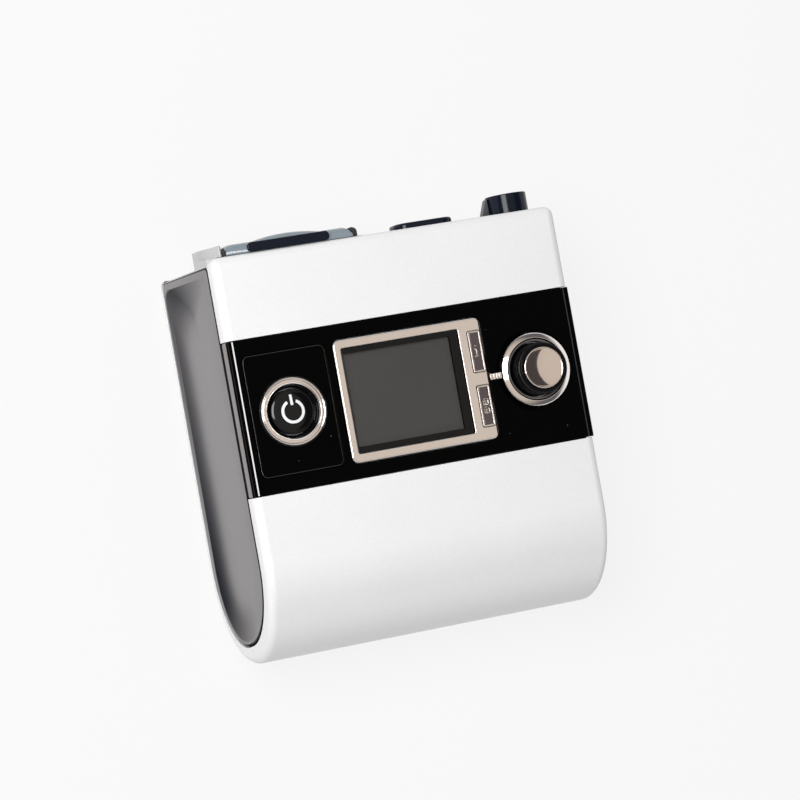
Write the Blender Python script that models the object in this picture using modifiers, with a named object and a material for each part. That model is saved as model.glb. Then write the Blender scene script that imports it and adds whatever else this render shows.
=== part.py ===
"""Bedside air pressure machine: a flat case with a half-round nose, a control band and a blower inside.

X runs to the right, Y from the nose to the rear, Z up. Sizes are in metres. While the pieces are made,
the nose tip is at Y = 0 and the case's underside at Z = 0; the frame empty then moves the whole machine,
so that the floor under its feet is at Z = 0 and its length is centred.
"""
import math

import bmesh
import bpy
from mathutils import Matrix, Vector

# Case
CASE_WIDTH = 0.140
CASE_LENGTH = 0.1541
CASE_HEIGHT = 0.076
WALL = 0.0022
EDGE_RADIUS = 0.0033
RIM_DEPTH = 0.007
BASE_RIM_DEPTH = 0.0028
SEAM_HEIGHT = 0.040
FIT_GAP = 0.0003
OVERRUN = 0.002
HALF_WIDTH = CASE_WIDTH / 2
NOSE_RADIUS = CASE_HEIGHT / 2

# Control band; a share of the flat face that it leaves free lies in front of it.
BAND_LENGTH = 0.0589
FRONT_FACE_SHARE = 0.44126
BAND_PROUD = 0.0003
BAND_RIM_DEPTH = 0.0047
BAND_EDGE_RADIUS = 0.0011
BAND_FRONT = NOSE_RADIUS + (CASE_LENGTH - NOSE_RADIUS - BAND_LENGTH) * FRONT_FACE_SHARE
BAND_REAR = BAND_FRONT + BAND_LENGTH
BAND_TOP = CASE_HEIGHT + BAND_PROUD
BAND_UNDERSIDE = BAND_TOP - WALL
CONTROL_SETBACK = 0.02936
CONTROL_LINE = BAND_FRONT + CONTROL_SETBACK

# Rear end
BASE_REAR_SETBACK = 0.0016
HEEL_RADIUS = 0.006
HEEL_LIP = 0.002
BASE_REAR = CASE_LENGTH - BASE_REAR_SETBACK
HEEL_TOP = HEEL_RADIUS + HEEL_LIP

# Air outlet, whose end is the machine's rearmost point
OUTLET_INSET = 0.0111
OUTLET_DROP = 0.020
OUTLET_RADIUS = 0.0081
OUTLET_WALL = 0.0015
OUTLET_REACH = 0.0081
OUTLET_TIP = CASE_LENGTH + OUTLET_REACH
OUTLET_X = HALF_WIDTH - OUTLET_INSET
OUTLET_Z = CASE_HEIGHT - OUTLET_DROP

# Feet
FOOT_RADIUS = 0.005
FOOT_PROUD = 0.0015
FOOT_INSET = 0.014
FOOT_FRONT_INSET = 0.008
FOOT_REAR_INSET = 0.0115
FOOT_POCKET = 0.0008
FOOT_BEVEL = 0.0004
FOOT_FRONT_Y = NOSE_RADIUS + FOOT_FRONT_INSET
FOOT_REAR_Y = BASE_REAR - FOOT_REAR_INSET

# Facets of round pieces
FINE_STEPS = 30
ROUND_STEPS = 24
SMALL_STEPS = 14
NOSE_STEPS = 24
FILLET_STEPS = 4

# Points closer than this are one point.
WELD_DISTANCE = 0.000002


for old in list(bpy.data.objects):
    bpy.data.objects.remove(old, do_unlink=True)

parts = bpy.data.collections.new("cpap_machine")
cutters = bpy.data.collections.new("cutters")
bpy.context.scene.collection.children.link(parts)
bpy.context.scene.collection.children.link(cutters)

frame = bpy.data.objects.new("frame", None)
frame.location = (0.0, -OUTLET_TIP / 2, FOOT_PROUD)
parts.objects.link(frame)


def finish(name, color, roughness, metallic=0.0, alpha=1.0):
    """One Principled material in a part's own colour."""
    material = bpy.data.materials.new(name)
    material.use_nodes = True
    shader = material.node_tree.nodes["Principled BSDF"]
    shader.inputs["Base Color"].default_value = (*color, 1.0)
    shader.inputs["Roughness"].default_value = roughness
    shader.inputs["Metallic"].default_value = metallic
    shader.inputs["Alpha"].default_value = alpha
    return material


SILVER = ((0.74, 0.75, 0.77), 0.32, 0.6)
GREY = ((0.36, 0.36, 0.37), 0.5)
GLOSS_BLACK = ((0.008, 0.008, 0.010), 0.06)
CHROME = ((0.80, 0.77, 0.73), 0.08, 1.0)
NAVY = ((0.010, 0.018, 0.032), 0.15)
CLEAR_BLUE = ((0.45, 0.60, 0.68), 0.12, 0.0, 0.8)
RUBBER = ((0.02, 0.02, 0.02), 0.8)
BOARD_GREEN = ((0.02, 0.16, 0.07), 0.5)
STEEL = ((0.55, 0.56, 0.58), 0.3, 1.0)
WHITE_PLASTIC = ((0.70, 0.70, 0.66), 0.5)
FOAM = ((0.12, 0.12, 0.13), 0.95)


def adopt(mesh, name, look=None, location=(0.0, 0.0, 0.0), rotation=(0.0, 0.0, 0.0)):
    """Put a mesh in the machine as a part with its look, or as a cutter when it has none."""
    piece = bpy.data.objects.new(name, mesh)
    piece.location = location
    piece.rotation_euler = rotation
    piece.parent = frame
    if look is None:
        piece.hide_render = True
        piece.display_type = "WIRE"
        cutters.objects.link(piece)
    else:
        mesh.materials.clear()
        mesh.materials.append(finish(name, *look))
        parts.objects.link(piece)
    return piece


def mesh_of(shape, name):
    mesh = bpy.data.meshes.new(name)
    shape.to_mesh(mesh)
    shape.free()
    return mesh


def block(name, low, high, look=None, bevel=0.0, bevel_edges=None, steps=2):
    """A box between two corners; bevel rounds the edges that bevel_edges picks, or all of them."""
    shape = bmesh.new()
    bmesh.ops.create_cube(shape, size=1.0)
    size = Vector(high) - Vector(low)
    middle = (Vector(high) + Vector(low)) / 2
    bmesh.ops.transform(shape, matrix=Matrix.Translation(middle) @ Matrix.Diagonal((*size, 1.0)),
                        verts=shape.verts)
    if bevel:
        edges = [edge for edge in shape.edges if bevel_edges is None or bevel_edges(edge)]
        bmesh.ops.bevel(shape, geom=edges, offset=bevel, segments=steps, profile=0.5, affect="EDGES",
                        clamp_overlap=True)
    return adopt(mesh_of(shape, name), name, look)


def rod(name, radius, low, high, centre, look=None, steps=SMALL_STEPS, axis="Z"):
    """A cylinder between two places on an axis that is parallel to Z, Y or X."""
    shape = bmesh.new()
    bmesh.ops.create_cone(shape, cap_ends=True, segments=steps, radius1=radius, radius2=radius,
                          depth=high - low)
    middle = (low + high) / 2
    if axis == "Y":
        turn = Matrix.Rotation(math.pi / 2, 4, "X")
        place = Matrix.Translation((centre[0], middle, centre[1])) @ turn
    elif axis == "X":
        turn = Matrix.Rotation(math.pi / 2, 4, "Y")
        place = Matrix.Translation((middle, centre[0], centre[1])) @ turn
    else:
        place = Matrix.Translation((centre[0], centre[1], middle))
    bmesh.ops.transform(shape, matrix=place, verts=shape.verts)
    return adopt(mesh_of(shape, name), name, look)


def turned(name, profile, look, centre, steps=ROUND_STEPS, closed=False, rearward=False):
    """A profile of (radius, height) turned about its axis; closed profiles make rings.

    The profile runs down its outer side. The axis is upright, or points rearward when asked."""
    mesh = bpy.data.meshes.new(name)
    points = [(radius, 0.0, height) for radius, height in profile]
    edges = [(i, i + 1) for i in range(len(points) - 1)]
    if closed:
        edges.append((len(points) - 1, 0))
    mesh.from_pydata(points, edges, [])
    turn = (-math.pi / 2, 0.0, 0.0) if rearward else (0.0, 0.0, 0.0)
    piece = adopt(mesh, name, look, centre, turn)
    screw = piece.modifiers.new("turn", "SCREW")
    screw.axis = "Z"
    screw.angle = math.tau
    screw.steps = steps
    screw.render_steps = steps
    screw.use_merge_vertices = True
    screw.merge_threshold = WELD_DISTANCE
    screw.use_smooth_shade = True
    return piece


def plate(name, outline, low, high, look=None, rearward=False):
    """A flat outline given thickness: a 2D curve with an extrude, made a mesh.

    The outline is (x, y) and the plate lies flat; a rearward outline is (x, z) and runs along Y."""
    curve = bpy.data.curves.new(name, "CURVE")
    curve.dimensions = "2D"
    curve.fill_mode = "BOTH"
    curve.extrude = (high - low) / 2
    spline = curve.splines.new("POLY")
    spline.points.add(len(outline) - 1)
    for point, (u, v) in zip(spline.points, outline):
        point.co = (u, v, 0.0, 1.0)
    spline.use_cyclic_u = True
    sketch = bpy.data.objects.new(name + "_sketch", curve)
    bpy.context.scene.collection.objects.link(sketch)
    bpy.context.view_layer.update()
    mesh = bpy.data.meshes.new_from_object(sketch.evaluated_get(bpy.context.evaluated_depsgraph_get()))
    bpy.data.objects.remove(sketch, do_unlink=True)
    shape = bmesh.new()
    shape.from_mesh(mesh)
    bmesh.ops.remove_doubles(shape, verts=shape.verts, dist=WELD_DISTANCE)
    middle = (low + high) / 2
    if rearward:
        place = Matrix.Translation((0.0, middle, 0.0)) @ Matrix.Rotation(math.pi / 2, 4, "X")
    else:
        place = Matrix.Translation((0.0, 0.0, middle))
    bmesh.ops.transform(shape, matrix=place, verts=shape.verts)
    bmesh.ops.recalc_face_normals(shape, faces=shape.faces)
    shape.to_mesh(mesh)
    shape.free()
    return adopt(mesh, name, look)


def loft(name, rings, look=None, joined_ends=False):
    """Skin a row of equal rings of points; the ends are capped, or joined to make a bored body."""
    shape = bmesh.new()
    rows = [[shape.verts.new(point) for point in ring] for ring in rings]
    count = len(rings[0])
    pairs = list(zip(rows, rows[1:]))
    if joined_ends:
        pairs.append((rows[-1], rows[0]))
    else:
        shape.faces.new(rows[0])
        shape.faces.new(rows[-1])
    for first, second in pairs:
        for i in range(count):
            j = (i + 1) % count
            shape.faces.new((first[i], first[j], second[j], second[i]))
    bmesh.ops.recalc_face_normals(shape, faces=shape.faces)
    return adopt(mesh_of(shape, name), name, look)


def pivot(piece, place):
    """Put a moving piece's origin on its joint's axis."""
    piece.data.transform(Matrix.Translation(-Vector(place)))
    piece.location = place
    return piece


def combine(piece, other, operation):
    boolean = piece.modifiers.new(other.name, "BOOLEAN")
    boolean.operation = operation
    boolean.solver = "EXACT"
    boolean.object = other
    return piece


def cut(piece, *tools):
    for tool in tools:
        combine(piece, tool, "DIFFERENCE")
    return piece


def join(piece, *extras):
    for extra in extras:
        combine(piece, extra, "UNION")
    return piece


def rounded_rectangle(low, high, radius, steps=3):
    """Corner arcs of a rectangle between two corners, counterclockwise."""
    corners = ((high[0] - radius, high[1] - radius, 0), (low[0] + radius, high[1] - radius, 1),
               (low[0] + radius, low[1] + radius, 2), (high[0] - radius, low[1] + radius, 3))
    points = []
    for x, y, quarter in corners:
        for i in range(steps + 1):
            angle = math.pi / 2 * (quarter + i / steps)
            points.append((x + radius * math.cos(angle), y + radius * math.sin(angle)))
    return points


# The case's side outline, walked from the rear of the face over the nose to the heel.
# A station is (y, z, normal y, normal z, share), where share runs from 0 at the seam to 1 under the nose.
SEAM_ANGLE = math.acos((SEAM_HEIGHT - NOSE_RADIUS) / NOSE_RADIUS)


def face_station(y):
    return (y, CASE_HEIGHT, 0.0, 1.0, 0.0)


def nose_station(angle):
    run_share = max(0.0, (angle - SEAM_ANGLE) / (math.pi - SEAM_ANGLE))
    return (NOSE_RADIUS - NOSE_RADIUS * math.sin(angle), NOSE_RADIUS + NOSE_RADIUS * math.cos(angle),
            -math.sin(angle), math.cos(angle), run_share)


def heel_station(angle):
    return (BASE_REAR - HEEL_RADIUS + HEEL_RADIUS * math.sin(angle),
            HEEL_RADIUS - HEEL_RADIUS * math.cos(angle), math.sin(angle), -math.cos(angle), 1.0)


def arc(start, stop, steps):
    return [start + (stop - start) * i / steps for i in range(steps + 1)]


def rim_at(share):
    """The silver rim is deep round the upper nose and thins out under the machine."""
    return RIM_DEPTH + (BASE_RIM_DEPTH - RIM_DEPTH) * math.sin(share * math.pi / 2)


def channel(rim, edge_radius, wall=WALL):
    """Cross-section of a cover: a skin with a flange down each side, as (x, depth under the surface)."""
    outer = [(-HALF_WIDTH, rim)]
    for angle in arc(math.pi, math.pi / 2, FILLET_STEPS):
        outer.append((-HALF_WIDTH + edge_radius + edge_radius * math.cos(angle),
                      edge_radius - edge_radius * math.sin(angle)))
    right = [(-x, depth) for x, depth in reversed(outer)]
    inner = [(HALF_WIDTH - wall, rim), (HALF_WIDTH - wall, wall), (-HALF_WIDTH + wall, wall),
             (-HALF_WIDTH + wall, rim)]
    return outer + right + inner


def swept_cover(name, stations, edge_radius, look):
    rings = []
    for y, z, normal_y, normal_z, share in stations:
        section = channel(rim_at(share), edge_radius)
        rings.append([(x, y - normal_y * depth, z - normal_z * depth) for x, depth in section])
    return loft(name, rings, look)


half_gap = FIT_GAP / 2
seam_gap_angle = half_gap / NOSE_RADIUS

# Silver front cover: the face below the band and the upper nose, down to the seam.
front_stations = [face_station(BAND_FRONT - half_gap)]
front_stations += [nose_station(a) for a in arc(0.0, SEAM_ANGLE - seam_gap_angle, NOSE_STEPS // 2)]
swept_cover("front_cover", front_stations, EDGE_RADIUS, SILVER)

# Base shell: the lower nose, the underside and the heel, with pockets for the feet.
BASE_EDGE_SHARE = 0.8
base_stations = [nose_station(a) for a in arc(SEAM_ANGLE + seam_gap_angle, math.pi, NOSE_STEPS // 2)]
base_stations += [heel_station(a) for a in arc(0.0, math.pi / 2, FILLET_STEPS)]
base_stations += [(BASE_REAR, HEEL_TOP, 1.0, 0.0, 1.0)]
base_shell = swept_cover("base_shell", base_stations, BASE_RIM_DEPTH * BASE_EDGE_SHARE, SILVER)

foot_places = [(side * (HALF_WIDTH - FOOT_INSET), y)
               for y in (FOOT_FRONT_Y, FOOT_REAR_Y) for side in (-1, 1)]
for number, (x, y) in enumerate(foot_places, start=1):
    cut(base_shell, rod(f"foot_pocket_{number}", FOOT_RADIUS + FIT_GAP, -OVERRUN, FOOT_POCKET, (x, y),
                        steps=ROUND_STEPS))
    turned(f"foot_{number}", [(0.0, FOOT_POCKET - FIT_GAP), (FOOT_RADIUS, FOOT_POCKET - FIT_GAP),
                              (FOOT_RADIUS, FOOT_BEVEL - FOOT_PROUD),
                              (FOOT_RADIUS - FOOT_BEVEL, -FOOT_PROUD), (0.0, -FOOT_PROUD)],
           RUBBER, (x, y, 0.0))

# Silver rear cover: a tray over the rear of the face, rounded on its sides and rear.
rear_cover_front = BAND_REAR + half_gap


def rear_cover_edge(edge):
    """The two long top edges, the rear top edge and the two upright rear edges."""
    ends = [vert.co for vert in edge.verts]
    on_top = all(end.z > CASE_HEIGHT - WALL for end in ends)
    at_rear = all(end.y > CASE_LENGTH - WALL for end in ends)
    lengthwise = abs(ends[0].y - ends[1].y) > WALL
    upright = abs(ends[0].z - ends[1].z) > WALL
    return (on_top and (at_rear or lengthwise)) or (at_rear and upright)


rear_cover = block("rear_cover", (-HALF_WIDTH, rear_cover_front, CASE_HEIGHT - RIM_DEPTH),
                   (HALF_WIDTH, CASE_LENGTH, CASE_HEIGHT), SILVER, EDGE_RADIUS, rear_cover_edge, FILLET_STEPS)
cut(rear_cover, block("rear_cover_inside",
                      (-HALF_WIDTH + WALL, rear_cover_front - OVERRUN, CASE_HEIGHT - RIM_DEPTH - OVERRUN),
                      (HALF_WIDTH - WALL, CASE_LENGTH - WALL, CASE_HEIGHT - WALL)))

# Gloss fascia across the band, with its own shallow flanges.
fascia_rings = []
for fascia_y in (BAND_FRONT + half_gap, BAND_REAR - half_gap):
    fascia_rings.append([(x, fascia_y, BAND_TOP - depth)
                         for x, depth in channel(BAND_RIM_DEPTH, BAND_EDGE_RADIUS)])
fascia = loft("fascia", fascia_rings, GLOSS_BLACK)

# Dished side panels, let into the rims of the covers and the base.
PANEL_GAP = 0.0005
PANEL_RECESS = 0.0003
PANEL_THICKNESS = 0.0026
PANEL_DISH = 0.0012
PANEL_DISH_REACH = 0.016
PANEL_ROLL = 0.0008
PANEL_CORNER = 0.0028
panel_outer = HALF_WIDTH - PANEL_RECESS
panel_inner = panel_outer - PANEL_THICKNESS
panel_top = CASE_HEIGHT - RIM_DEPTH - PANEL_GAP
panel_bottom = BASE_RIM_DEPTH + PANEL_GAP
panel_rear = BASE_REAR - BASE_RIM_DEPTH - PANEL_GAP
dish_shares = ((0.0, 0.0), (PANEL_ROLL / PANEL_DISH_REACH, 0.0), (0.2, 0.35), (0.5, 0.8), (1.0, 1.0))
corner_least_share = 0.2


def panel_outline(inset):
    """The panel's outline as (y, z), moved inwards by an inset."""
    points = [(panel_rear - inset, panel_top - inset)]
    for y, z, normal_y, normal_z, share in [nose_station(a) for a in arc(0.0, math.pi, NOSE_STEPS)]:
        depth = rim_at(share) + PANEL_GAP + inset
        points.append((y - normal_y * depth, z - normal_z * depth))
    corner = max(PANEL_CORNER - inset, PANEL_CORNER * corner_least_share)
    for angle in arc(0.0, math.pi / 2, FILLET_STEPS):
        points.append((panel_rear - inset - corner + corner * math.sin(angle),
                       panel_bottom + inset + corner - corner * math.cos(angle)))
    return points


for side, name in ((-1, "left_side_panel"), (1, "right_side_panel")):
    panel_rings = [[(side * panel_inner, y, z) for y, z in panel_outline(0.0)]]
    for reach_share, dish_share in dish_shares:
        ring_x = side * (panel_outer - PANEL_DISH * dish_share)
        panel_rings.append([(ring_x, y, z) for y, z in panel_outline(PANEL_DISH_REACH * reach_share)])
    loft(name, panel_rings, GREY)

# Rear housing: the rear wall with the filter bay, the card slot, the sockets and the outlet's web.
REAR_WALL = 0.0022
WALL_SETBACK = 0.0005
PORT_CLEARANCE = 0.0003
wall_outer = BASE_REAR - WALL_SETBACK
wall_inner = wall_outer - REAR_WALL
wall_top = CASE_HEIGHT - RIM_DEPTH - FIT_GAP
wall_bottom = HEEL_TOP + FIT_GAP
cover_rear_line = CASE_LENGTH + FIT_GAP

# Filter bay
BAY_FRAME_WALL = 0.002
BAY_LEFT_WALL = 0.0056
BAY_WIDTH = 0.0558
BAY_FLOOR_DROP = 0.023
BAY_REACH = 0.0045
BAY_CORNER_X = 0.0034
BAY_CORNER_Z = 0.0112
BAY_DEPTH = 0.0125
BAY_SKIN = 0.0016
BAY_RIGHT_DROP = 0.0012
SEAL_LEFT = 0.001
SEAL_RIGHT = 0.0026
SEAL_FLOOR = 0.0014
SEAL_CORNER = 0.0024
FILTER_COVER_DROP = 0.0042
BAY_FLOOR_Z = CASE_HEIGHT - BAY_FLOOR_DROP
FILTER_COVER_TOP = CASE_HEIGHT - FILTER_COVER_DROP
bay_left = -panel_outer + BAY_LEFT_WALL
bay_right = bay_left + BAY_WIDTH
bay_rear = CASE_LENGTH + BAY_REACH
frame_floor = BAY_FLOOR_Z - BAY_FRAME_WALL
seal_left = bay_left + FIT_GAP
seal_right = bay_right - FIT_GAP
seal_floor = BAY_FLOOR_Z + FIT_GAP
cover_left = seal_left + SEAL_LEFT + FIT_GAP
cover_right = seal_right - SEAL_RIGHT - FIT_GAP
cover_floor = seal_floor + SEAL_FLOOR + FIT_GAP
pocket_top = wall_top - BAY_SKIN
pocket_front = wall_outer - BAY_DEPTH

rear_housing = block("rear_housing", (-panel_outer, wall_inner, wall_bottom),
                     (panel_outer, wall_outer, wall_top), GREY)
bay_frame_outline = [(-panel_outer, frame_floor), (bay_right, frame_floor), (bay_right, BAY_FLOOR_Z),
                     (bay_left, BAY_FLOOR_Z), (bay_left, FILTER_COVER_TOP),
                     (-panel_outer + BAY_CORNER_X + (BAY_LEFT_WALL - BAY_CORNER_X) / 2, FILTER_COVER_TOP),
                     (-panel_outer + BAY_CORNER_X, frame_floor + BAY_CORNER_Z + BAY_CORNER_X),
                     (-panel_outer, frame_floor + BAY_CORNER_Z - BAY_CORNER_X)]
bay_frame = plate("bay_frame", bay_frame_outline, cover_rear_line, bay_rear, rearward=True)
bay_root = block("bay_root", (-panel_outer, wall_outer - REAR_WALL / 2, frame_floor),
                 (bay_left, cover_rear_line + half_gap, wall_top))
bay_root_right = block("bay_root_right", (bay_right, wall_outer - REAR_WALL / 2, frame_floor),
                       (bay_right + BAY_FRAME_WALL, cover_rear_line + half_gap, wall_top))
bay_root_floor = block("bay_root_floor", (-panel_outer, wall_outer - REAR_WALL / 2, frame_floor),
                       (bay_right + BAY_FRAME_WALL, cover_rear_line + half_gap, BAY_FLOOR_Z))
pocket = block("pocket", (cover_left - FIT_GAP - BAY_SKIN, pocket_front - BAY_SKIN, cover_floor - BAY_SKIN),
               (cover_right + FIT_GAP + BAY_SKIN, wall_outer - REAR_WALL / 2, wall_top - half_gap))
join(rear_housing, pocket, bay_frame, bay_root, bay_root_right, bay_root_floor)
cut(rear_housing, block("pocket_room", (cover_left, pocket_front, cover_floor),
                        (cover_right, wall_outer + OVERRUN, pocket_top)))

# Slots let the air through the bay's front wall into the foam.
GRID_SLOTS = 6
GRID_SLOT_WIDTH = 0.006
grid_pitch = (cover_right - cover_left) / GRID_SLOTS
for slot in range(GRID_SLOTS):
    slot_x = cover_left + grid_pitch / 2 + grid_pitch * slot
    cut(rear_housing, block(f"grid_slot_{slot}",
                            (slot_x - GRID_SLOT_WIDTH / 2, pocket_front - BAY_SKIN - OVERRUN,
                             cover_floor + BAY_SKIN),
                            (slot_x + GRID_SLOT_WIDTH / 2, pocket_front + OVERRUN, pocket_top - BAY_SKIN)))

# The web beside the outlet, sloping from the tip to the wall.
WEB_SPREAD = 0.0042
WEB_TOP = 0.0008
WEB_HALF_HEIGHT = 0.0017
WEB_TIP_DROP = 0.0006
web_right = OUTLET_X - OUTLET_RADIUS - FIT_GAP
web_outline = [(web_right, wall_outer - REAR_WALL / 2), (web_right, OUTLET_TIP - WEB_TIP_DROP),
               (web_right - WEB_TOP, OUTLET_TIP - WEB_TIP_DROP * 2),
               (web_right - WEB_SPREAD, wall_outer), (web_right - WEB_SPREAD, wall_outer - REAR_WALL / 2)]
join(rear_housing, plate("web", web_outline, OUTLET_Z - WEB_HALF_HEIGHT, OUTLET_Z + WEB_HALF_HEIGHT))
cut(rear_housing, rod("outlet_hole", OUTLET_RADIUS + PORT_CLEARANCE, wall_inner - OVERRUN,
                      wall_outer + OVERRUN, (OUTLET_X, OUTLET_Z), steps=FINE_STEPS, axis="Y"))

# Air outlet: a turned tube seated in the wall, with a narrower spigot for the duct.
OUTLET_SHOULDER = 0.002
OUTLET_SPIGOT = 0.011
OUTLET_SPIGOT_RADIUS = 0.0066
OUTLET_SPIGOT_BORE = 0.0054
OUTLET_LEAD = 0.0003
outlet_bore = OUTLET_RADIUS - OUTLET_WALL
shoulder = wall_inner - OUTLET_SHOULDER
spigot_front = shoulder - OUTLET_SPIGOT
turned("air_outlet",
       [(outlet_bore + OUTLET_LEAD, OUTLET_TIP), (OUTLET_RADIUS - OUTLET_LEAD, OUTLET_TIP),
        (OUTLET_RADIUS, OUTLET_TIP - OUTLET_LEAD), (OUTLET_RADIUS, shoulder),
        (OUTLET_SPIGOT_RADIUS, shoulder), (OUTLET_SPIGOT_RADIUS, spigot_front),
        (OUTLET_SPIGOT_BORE, spigot_front), (OUTLET_SPIGOT_BORE, shoulder),
        (outlet_bore, shoulder + OUTLET_SHOULDER), (outlet_bore, OUTLET_TIP - OUTLET_LEAD)],
       NAVY, (OUTLET_X, 0.0, OUTLET_Z), FINE_STEPS, closed=True, rearward=True)

# Seal: a rubber U between the bay's frame and the filter cover.
seal_outline = [(seal_left, seal_floor), (seal_right, seal_floor),
                (seal_right, FILTER_COVER_TOP - BAY_RIGHT_DROP - SEAL_CORNER)]
seal_outline += [(seal_right - SEAL_CORNER + SEAL_CORNER * math.cos(a),
                  FILTER_COVER_TOP - BAY_RIGHT_DROP - SEAL_CORNER + SEAL_CORNER * math.sin(a))
                 for a in arc(math.pi / (2 * FILLET_STEPS), math.pi / 2, FILLET_STEPS - 1)]
seal_outline += [(seal_right - SEAL_RIGHT, FILTER_COVER_TOP - BAY_RIGHT_DROP),
                 (seal_right - SEAL_RIGHT, seal_floor + SEAL_FLOOR),
                 (seal_left + SEAL_LEFT, seal_floor + SEAL_FLOOR), (seal_left + SEAL_LEFT, FILTER_COVER_TOP),
                 (seal_left, FILTER_COVER_TOP)]
plate("filter_seal", seal_outline, cover_rear_line, bay_rear - FIT_GAP, RUBBER, rearward=True)

# Filter cover: a clear blue tray whose top rolls over to a bowed rear face.
COVER_SKIN = 0.0016
COVER_BULGE = 0.0014
COVER_BULGE_HALF = 0.0135
COVER_END_RADIUS = 0.0012
BULGE_STEPS = 8
COVER_VENTS = 4
VENT_HEIGHT = 0.0016
VENT_MARGIN = 0.005
cover_middle = (cover_left + cover_right) / 2
cover_front = cover_rear_line
cover_reach = bay_rear - cover_front
roll_shares = ((0.0, 0.94), (0.06, 1.0), (0.66, 1.0), (0.80, 0.97), (0.90, 0.88), (0.965, 0.74),
               (1.0, 0.52))


def cover_plan(reach_share):
    """The cover seen from above, as (x, distance behind its front edge)."""
    points = [(cover_left, 0.0), (cover_right, 0.0)]
    for angle in arc(0.0, math.pi / 2, 3):
        points.append((cover_right - COVER_END_RADIUS + COVER_END_RADIUS * math.cos(angle),
                       cover_reach - COVER_END_RADIUS + COVER_END_RADIUS * math.sin(angle)))
    for step in arc(1.0, -1.0, BULGE_STEPS):
        points.append((cover_middle + COVER_BULGE_HALF * step,
                       cover_reach + COVER_BULGE * (1 - step * step)))
    for angle in arc(math.pi / 2, math.pi, 3):
        points.append((cover_left + COVER_END_RADIUS + COVER_END_RADIUS * math.cos(angle),
                       cover_reach - COVER_END_RADIUS + COVER_END_RADIUS * math.sin(angle)))
    return [(x, cover_front + reach * reach_share) for x, reach in points]


cover_rings = []
for height_share, reach_share in roll_shares:
    ring_z = cover_floor + (FILTER_COVER_TOP - cover_floor) * height_share
    cover_rings.append([(x, y, ring_z) for x, y in cover_plan(reach_share)])
filter_place = (cover_middle, cover_front, cover_floor)
filter_cover = pivot(loft("filter_cover", cover_rings, CLEAR_BLUE), filter_place)
cut(filter_cover, block("cover_room",
                        (cover_left + COVER_SKIN, cover_front - OVERRUN, cover_floor + COVER_SKIN),
                        (cover_right - COVER_SKIN, bay_rear - COVER_SKIN,
                         FILTER_COVER_TOP - COVER_SKIN * 2)))
vent_pitch = (pocket_top - cover_floor - COVER_SKIN) / COVER_VENTS
for vent in range(COVER_VENTS):
    vent_z = cover_floor + COVER_SKIN + vent_pitch / 2 + vent_pitch * vent
    cut(filter_cover, block(f"vent_{vent}", (cover_left + VENT_MARGIN, bay_rear - COVER_SKIN - OVERRUN,
                                             vent_z - VENT_HEIGHT / 2),
                            (cover_right - VENT_MARGIN, bay_rear + COVER_BULGE + OVERRUN,
                             vent_z + VENT_HEIGHT / 2)))

# Filter pad: a simple pad in the pocket, which comes out with its cover.
PAD_THICKNESS = 0.0075
pad_rear = cover_front - FIT_GAP
pivot(block("air_filter", (cover_left + FIT_GAP, pad_rear - PAD_THICKNESS, cover_floor + FIT_GAP),
            (cover_right - FIT_GAP, pad_rear, pocket_top - FIT_GAP), ((0.75, 0.78, 0.80), 0.95)),
      filter_place)

# Gloss grip on the filter cover.
GRIP_LEFT_INSET = 0.0095
GRIP_RIGHT_INSET = 0.010
GRIP_THICKNESS = 0.0013
GRIP_REACH = 0.0026
GRIP_BEVEL = 0.0004
pivot(block("filter_grip", (cover_left + GRIP_LEFT_INSET, cover_front, FILTER_COVER_TOP + FIT_GAP),
            (cover_right - GRIP_RIGHT_INSET, cover_front + GRIP_REACH,
             FILTER_COVER_TOP + FIT_GAP + GRIP_THICKNESS), NAVY, GRIP_BEVEL), filter_place)

# Card slot, its pull-off cover and the connector behind it.
CARD_X = 0.0199
CARD_DROP = 0.0144
CARD_Z = CASE_HEIGHT - CARD_DROP
CARD_COVER_WIDTH = 0.0238
CARD_COVER_HEIGHT = 0.0138
CARD_COVER_REACH = 0.0046
CARD_PORT_WIDTH = 0.019
CARD_PORT_HEIGHT = 0.0088
CARD_COVER_BEVEL = 0.0008
CARD_PLUG_WALL = 0.0012
CARD_PLUG_DEPTH = 0.0018
CARD_SKIN = 0.0014
card_port_low = (CARD_X - CARD_PORT_WIDTH / 2, CARD_Z - CARD_PORT_HEIGHT / 2)
card_port_high = (CARD_X + CARD_PORT_WIDTH / 2, CARD_Z + CARD_PORT_HEIGHT / 2)
cut(rear_housing, block("card_port", (card_port_low[0], wall_inner - OVERRUN, card_port_low[1]),
                        (card_port_high[0], wall_outer + OVERRUN, card_port_high[1])))
card_cover_rear = wall_outer + CARD_COVER_REACH


def rear_edge(edge):
    return all(vert.co.y > wall_outer + CARD_SKIN for vert in edge.verts)


card_cover = block("card_cover",
                   (CARD_X - CARD_COVER_WIDTH / 2, wall_outer + FIT_GAP, CARD_Z - CARD_COVER_HEIGHT / 2),
                   (CARD_X + CARD_COVER_WIDTH / 2, card_cover_rear, CARD_Z + CARD_COVER_HEIGHT / 2),
                   NAVY, CARD_COVER_BEVEL, rear_edge)
card_plug = block("card_plug",
                  (card_port_low[0] + FIT_GAP, wall_outer - CARD_PLUG_DEPTH, card_port_low[1] + FIT_GAP),
                  (card_port_high[0] - FIT_GAP, card_cover_rear - CARD_SKIN, card_port_high[1] - FIT_GAP))
pivot(card_cover, (CARD_X, wall_outer, CARD_Z))
join(card_cover, card_plug)
cut(card_cover, block("card_cover_room",
                      (card_port_low[0] + FIT_GAP + CARD_PLUG_WALL, wall_outer - CARD_PLUG_DEPTH - OVERRUN,
                       card_port_low[1] + FIT_GAP + CARD_PLUG_WALL),
                      (card_port_high[0] - FIT_GAP - CARD_PLUG_WALL, card_cover_rear - CARD_SKIN,
                       card_port_high[1] - FIT_GAP - CARD_PLUG_WALL)))

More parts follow.
